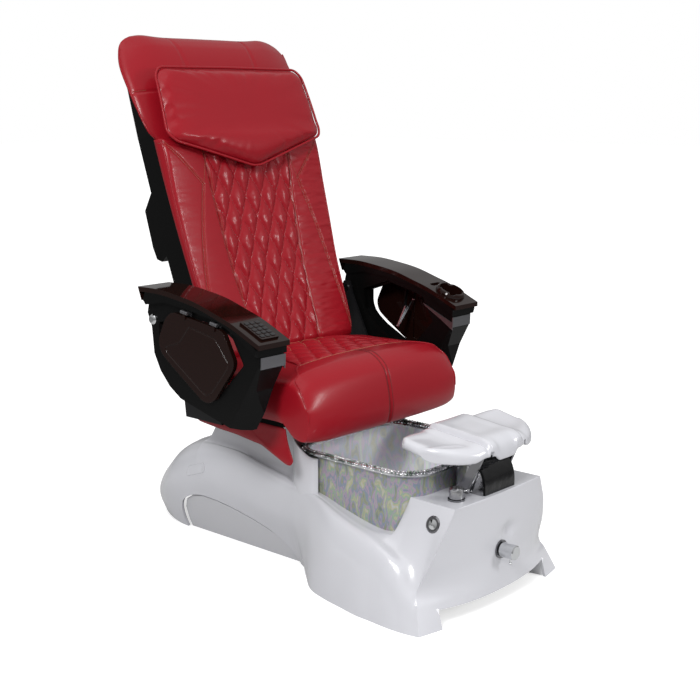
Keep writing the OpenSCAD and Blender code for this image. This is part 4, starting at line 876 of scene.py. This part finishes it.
def back_ring(z, turn=0.0):
    """Level outline of the back cushion; turn draws its face rearwards at the ends"""
    h = float(guide(back_half, z))
    end = 12 * turn
    row = []
    for t in np.linspace(1, -1, 221):
        x = h * math.copysign(abs(t) ** 0.94, t)
        row.append((x, back_face(x, z) + end, z))
    rear = [(h - 1, 32, z), (h - 8, 38, z), (h * 0.5, 40, z)]
    return row + [(-x, y, z) for x, y, z in rear] + rear[::-1]


back_rings = [back_ring(z, max(0, 1 - (z - back_low) / 26) ** 2 + max(0, 1 - (back_high - z) / 14) ** 2)
              for z in np.linspace(back_low, back_high, 300)]
back_rings = dome(back_rings, 0, (0, 0, -3), 3)[::-1] + back_rings + dome(back_rings, -1, (0, 0, 1), 2)
back = lofted("back_cover", [[leant(p) for p in r] for r in back_rings], leather, "back", angle=60)
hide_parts("back_cushion")


def back_path(points, lift=0.3):
    """Line on the cover through (x, z) points"""
    return [leant((x, back_face(x, z) - lift, z)) for x, z in points]


quilting = []
for sign in (1, -1):
    for n in range(-5, 12):
        line = []
        for z in np.linspace(0, 606, 200):
            x = sign * diamond_w * (n - z / back_diamond_h)
            if abs(x) < float(guide(panel_half, z)) - 2:
                line.append((x, z))
        if len(line) > 3:
            quilting.append(back_path(line))
sewn("back_quilting", quilting, "back", 4.0, 0.6, dark_thread)
seams = []
for side, s in sides:
    down = [(s * float(guide(seam_half, z)), z) for z in np.linspace(yoke_low, 4, 90)]
    yoke = [(s * (yoke_x + yoke_wide * t), yoke_low + yoke_high * t) for t in np.linspace(0, 0.96, 30)]
    border = [(s * float(guide(panel_half, z)), z) for z in np.linspace(4, 606, 110)]
    bridge = [(s * (164 + 24 * t), 560 - 80 * t) for t in np.linspace(0, 1, 14)]
    for path in (down, yoke, border):
        seams += [back_path([(x + d, z) for x, z in path]) for d in (-4, 4)]
    seams.append(back_path(bridge))
    edge = []
    for z in np.linspace(0, 606, 90):
        x = float(guide(back_half, z)) - 4
        edge.append(leant((s * x, back_face(x, z) - 1.0, z)))
    tube("back_piping_" + side, edge, 2.6, leather, "back")
sewn("back_seam_stitches", seams, "back", 4.5, 0.6)

# ---- head piece ----
# Separate pad with swept wings that closes the shell's top.
# Its rows give half width, depth of the middle, sweep of the wings and depth of the rear at each height.
head_rows = [[616, [300, 4, 26, 40]], [638, [318, 4, 32, 40]], [700, [328, 6, 34, 52]],
             [770, [333, 12, 38, 66]], [838, [333, 22, 40, 78]], [885, [322, 36, 34, 80]],
             [908, [307, 50, 26, 82]], [921, [286, 62, 16, 84]], [926, [268, 70, 10, 84]]]
head_top, wing_seam = 926, 752


def lobe_x(z):
    """Half width of the head piece's middle part, up to its seam"""
    return 142 - (head_top - z) * 0.06


def head_face(x, z):
    """Depth of the head piece at x across and z up the slope, its sunk seams included"""
    h, c, w, b = guide(head_rows, z)
    k = min(abs(x) / h, 1)
    y = min(c + w * k**4, b - 1)
    y += seam_dip * ridge(abs(x) - lobe_x(z), 4)
    if abs(x) > 250:
        y += seam_dip * ridge(z - wing_seam, 4)
    edge = max(0, (abs(x) - (h - 14)) / 14)
    return y + (b - 4 - y) * (1 - math.sqrt(max(1 - edge**2, 0)))


def head_ring(z):
    """Level outline of the head piece"""
    h, c, w, b = guide(head_rows, z)
    xs = [h * math.sin(a) for a in np.linspace(math.pi / 2, -math.pi / 2, 161)]
    row = [(x, head_face(x, z), z) for x in xs]
    return row + [(-h + 4, b - 0.5, z), (-h * 0.6, b, z), (0, b, z), (h * 0.6, b, z), (h - 4, b - 0.5, z)]


def crested(p):
    """Raises the top of the head piece into two soft crests"""
    x, y, z = p
    return (x, y, z + ease(850, head_top, z) * (7 * ridge(abs(x) - 232, 46) - 3))


head_zs = np.concatenate([np.linspace(616.6, 880, 90), np.linspace(884, head_top, 20)])
head_rings = [head_ring(z) for z in head_zs]
head_rings = dome(head_rings, 0, (0, 0, -0.4), 2)[::-1] + head_rings + dome(head_rings, -1, (0, 3, 3), 4)
head = lofted("head_cover", [[leant(crested(p)) for p in r] for r in head_rings], leather, "back", angle=60)
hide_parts("head_cushion")

for side, s in sides:
    lobe = []
    for z in np.linspace(920, 800, 40):
        x = lobe_x(z)
        lobe.append(leant((s * x, head_face(s * x, z) - 0.3, z - 3 * ease(850, head_top, z))))
    wing = [leant((s * x, head_face(s * x, wing_seam) - 0.3, wing_seam)) for x in np.linspace(294, 326, 20)]
    seams = [[p + Vector((s * d, 0, 0)) for p in lobe] for d in (-4, 4)]
    seams += [[p + Vector((0, 0, d)) for p in wing] for d in (-4, 4)]
    sewn("head_stitches_" + side, seams, "back", 4.5, 0.6)
    rim = []
    for z in np.linspace(622, 888, 70):
        h, c, w, b = (float(v) for v in guide(head_rows, z))
        rim.append(leant((s * (h - 1), b - 8, z)))
    tube("head_piping_" + side, rim, 2.4, leather, "back")

# ---- pillow ----
# Loose head pillow, a long hexagon drawn to a point below, piped round its edge and filled with fibre.
# It lies on the face line, which runs over the back cushion and the head piece.
face_all = [[480, -1], [520, -3], [562, -7], [598, -5], [616, 0], [640, 3.5], [700, 5.7], [770, 11.2],
            [838, 21], [900, 40]]
pillow_side = [(288, 592), (306, 618), (302, 660), (292, 786), (270, 810)]
pillow_corners = [(0, 508)] + pillow_side + [(0, 812)] + [(-x, z) for x, z in pillow_side[::-1]]
pillow_middle = Vector((0, 676))
pillow_step = 7
coarse_line = rounded_line(pillow_corners, 30)
pillow_line = []
for i, p in enumerate(coarse_line):
    q = coarse_line[(i + 1) % len(coarse_line)]
    count = max(1, round((q - p).length / pillow_step))
    pillow_line += [p.lerp(q, j / count) for j in range(count)]


def pillow_point(p, s, front):
    """Point of the pillow: drawn towards its middle by s, on its front or rear face"""
    q = pillow_middle + (p - pillow_middle) * s
    base_y = float(guide(face_all, q.y)) - 0.2
    bulge = max(1 - s**5, 0) ** 0.5
    y = base_y - 20 - (23 * bulge if front else -19 * bulge)
    if front:
        ripple = ease(0.35, 0.9, s) * ease(1.0, 0.93, s)
        near_edge = ripple * 1.8 * noise.noise(Vector((p.x * 0.035, p.y * 0.035, 4.0)))
        y += near_edge + 1.2 * noise.noise(Vector((q.x * 0.012, q.y * 0.02, 1.0))) * bulge
    return (q.x, y, q.y)


spread = [math.sin(a) for a in np.linspace(0.02, math.pi / 2, 30).tolist()]
pillow_rings = [[leant(pillow_point(p, s, False)) for p in pillow_line] for s in spread]
pillow_rings += [[leant(pillow_point(p, s, True)) for p in pillow_line] for s in spread[-2::-1]]
pillow = lofted("pillow_cover", pillow_rings, leather, angle=60)
stuffed(pillow)
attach(pillow, "back")
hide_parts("pillow")
pillow_edge = [leant(pillow_point(p, 0.988, True)) for p in pillow_line]
tube("pillow_piping", pillow_edge, 3.8, leather, "back", closed=True)

# ---- back shell ----
# Black moulded shell that is screwed to the back frame and carries the cushions.
# A deep band of the same plastic is folded over its middle.
satin_black = finish_of("satin_black", (0.003, 0.003, 0.003), 0.30, spec=0.11, grain=0.15, scale=500)
paint("back_shell back_band", satin_black, 0.004)
paint("massage_carriage", grey_plastic, 0.001)
paint("massage_rollers", rubber, 0.001)

# ---- arms ----
# Satin black moulded bodies under caps that are lacquered a deep brown.
# Each lifts on a chromed pin and carries a lacquered side tray on two hinges and a folding stay.
lacquer = finish_of("lacquer", (0.011, 0.0035, 0.0025), 0.08, spec=0.2, coat=0.10)
silver = finish_of("silver_trim", (0.17, 0.17, 0.18), 0.34, metal=0.85)
paint("arm_body_right arm_body_left", satin_black, 0.003)
paint("cup_holder", lacquer, 0.001)
paint("arm_accent_right arm_accent_left tray_hinge_right tray_hinge_left", silver, 0.0005)
paint("arm_pivot_right arm_pivot_left", chrome, 0.0008)
paint("stay_upper_right stay_upper_left stay_lower_right stay_lower_left", steel, 0.0004)
arc_keys = [[-204, 696], [-107, 738], [-43, 758], [27, 778], [100, 790], [175, 798], [258, 798]]
cap_top = [(y, float(guide(arc_keys, y))) for y in np.linspace(-204, 258, 70).tolist()]
cap_side = cap_top + [(244, 762)] + [(y, z - 13) for y, z in cap_top[-2::-1]]
tray_line = rounded_line([(151, 722), (180, 661), (171, 630), (139.5, 606), (16, 525), (-10, 518),
                          (-35.5, 529), (-108, 620.5), (-113, 641), (-76, 711), (-57, 719), (123, 744)], 16)
groove_line = rounded_line([(152, 645), (94, 665), (55, 711), (-44, 692), (-92, 634), (-87, 619), (-26, 546),
                            (-6, 538), (12, 546), (146, 632)], 7)
hollow_line = [(30, 700), (30, 560), (-14, 545), (-40, 570), (-40, 700)]
cap_in, cap_out, cap_middle = 346, 455, 400.5
cup_y, cup_slot_y, remote_y = -142, -88, -150
tray_in, tray_out, hinge_x = 440.3, 454, 456
hinge_ys = (-57, 57)


def on_cap(side, y):
    """Frame that lies flat on the cap at depth y"""
    slope = math.atan2(guide(arc_keys, y + 20) - guide(arc_keys, y - 20), 40)
    place = Matrix.Translation((side * cap_middle, y, float(guide(arc_keys, y))))
    return place @ Matrix.Rotation(slope, 4, "X")


for side, s in sides[::-1]:
    cap = slab("cap_" + side, cap_side, s * cap_in, s * cap_out, lacquer)
    if s > 0:
        cup_well = cutter(circle(38.3), -60, 60, on_cap(1, cup_y))
        cup_slot = cutter(round_rect(-24, 24, -8, 8, 7.9), -8, 20, on_cap(1, cup_slot_y))
        cut(cap, cup_well, cup_slot)
    else:
        cut(cap, cutter(round_rect(-31.3, 31.3, -43.3, 43.3, 4), -8, 30, on_cap(-1, remote_y)))
    round_edges(cap, 0.0032, 35, 4)
    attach(cap, "arm_" + side[0])
    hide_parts("arm_cap_" + side)
    axis = Matrix.Translation((s * hinge_x, 12.5, 739)) @ turned(8.9, "X")
    along = axis @ turned(-90, "X")
    tray = slab("tray_panel_" + side, tray_line, s * tray_in, s * tray_out, lacquer)
    knuckles = [cutter(circle(9), c - 15, c + 15, along) for c in hinge_ys]
    line = [(s * tray_out, p[0], p[1]) for p in groove_line]
    hollow = slab("cutter", hollow_line, s * 439, s * 446, lacquer)
    cut(tray, hollow, *knuckles, tube("cutter", line, 1.7, lacquer, None, closed=True))
    round_edges(tray, 0.0025, 35, 3)
    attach(tray, "tray_" + side[0])
    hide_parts("tray_" + side)
    for i, c in enumerate(hinge_ys):
        knuckle = cutter(circle(4.5, 24), c - 4.5, c + 4.5, along)
        leaf_line = [(c - 4.5, -3), (c + 4.5, -3), (c + 4.5, -18), (c - 4.5, -18)]
        leaf = slab("leaf", leaf_line, -4.5 * s, 1.5 * s, silver, None, axis)
        pin = cutter(circle(2, 16), c - 13, c + 13, along)
        for k, obj in enumerate((knuckle, leaf, pin)):
            obj.name = "tray_knuckle_%s_%d_%d" % (side, i, k)
            obj.data.materials[0] = lacquer if k == 1 else silver
            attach(obj, "tray_" + side[0])
paint("remote_body", lacquer, 0.001)
paint("remote_keys", finish_of("key_black", (0.012, 0.012, 0.013), 0.3, spec=0.4), 0.0008)

# ---- studio ----
# Pale floor, two soft boxes and a soft sun at a plain level.
# The room fades from white overhead to grey at the horizon; the camera sees it and the floor as plain white.
paper = finish_of("paper", (1.0, 1.0, 1.0), 0.95)
pt = paper.node_tree
spot = node(pt, "TexCoord")
reach = node(pt, "VectorMath")
reach.operation = "LENGTH"
far = node(pt, "MapRange", From_Min=1.1, From_Max=2.6)
ray = node(pt, "LightPath")
seen_far = node(pt, "Math")
seen_far.operation = "MULTIPLY_ADD"
seen_far.inputs[1].default_value = 0.36
seen_far.inputs[2].default_value = 0.64
glow_seen = node(pt, "Math")
glow_seen.operation = "MULTIPLY"
tone = node(pt, "MapRange", To_Min=0.6, To_Max=0.25)
paper_bsdf = pt.nodes["Principled BSDF"]
paper_bsdf.inputs["Emission Color"].default_value = (1, 1, 1, 1)
wired(pt, (spot, "Object", reach, 0), (reach, "Value", far, "Value"), (far, 0, seen_far, 0),
      (seen_far, 0, glow_seen, 0), (ray, "Is Camera Ray", glow_seen, 1),
      (glow_seen, 0, paper_bsdf, "Emission Strength"), (far, 0, tone, "Value"),
      (tone, 0, paper_bsdf, "Base Color"))
floor = piece("floor", [(-30, -30, 0), (30, -30, 0), (30, 30, 0), (-30, 30, 0)], [(0, 1, 2, 3)], paper)
world = bpy.data.worlds.new("room")
bpy.context.scene.world = world
world.use_nodes = True
wt = world.node_tree
ground = wt.nodes["Background"]
ground.inputs["Color"].default_value = (1, 1, 1, 1)
path = node(wt, "LightPath")
seen = node(wt, "Math")
seen.operation = "MAXIMUM"
coord = node(wt, "TexCoord")
split = node(wt, "SeparateXYZ")
glow = node(wt, "MapRange", From_Min=0.0, From_Max=0.75, To_Min=0.30, To_Max=0.62)
level = node(wt, "MapRange", To_Max=1.0)
wired(wt, (path, "Is Camera Ray", seen, 0), (path, "Is Transmission Ray", seen, 1),
      (coord, "Generated", split, 0), (split, "Z", glow, "Value"), (glow, 0, level, "To Min"),
      (seen, 0, level, "Value"), (level, 0, ground, "Strength"))
lamps = (("key", (-3.0, -1.4, 2.7), (0, 0, 0.9), 0.9, 84),
         ("fill", (1.6, -4.0, 2.2), (0, -0.2, 0.6), 0.9, 60),
         ("day", (-1.0, -0.6, 4.0), (0, 0, 0), 1.0, 0.6))
for name, place, aim, size, power in lamps:
    lamp = bpy.data.lights.new(name, "SUN" if name == "day" else "AREA")
    lamp.energy = power
    if name == "day":
        lamp.angle = size
    else:
        lamp.shape, lamp.size = "SQUARE", size
    light = bpy.data.objects.new(name, lamp)
    light.location = place
    light.rotation_euler = (Vector(aim) - Vector(place)).to_track_quat("-Z", "Y").to_euler()
    bpy.context.scene.collection.objects.link(light)
camera = bpy.data.objects.new("camera", bpy.data.cameras.new("camera"))
bpy.context.scene.collection.objects.link(camera)
bpy.context.scene.camera = camera
camera.data.lens = 63.57
camera.location = (-2.5247, -2.3475, 1.2863)
camera.rotation_euler = Vector((0.7319, 0.6520, -0.1980)).to_track_quat("-Z", "Y").to_euler()
bpy.context.scene.view_settings.view_transform = "Standard"
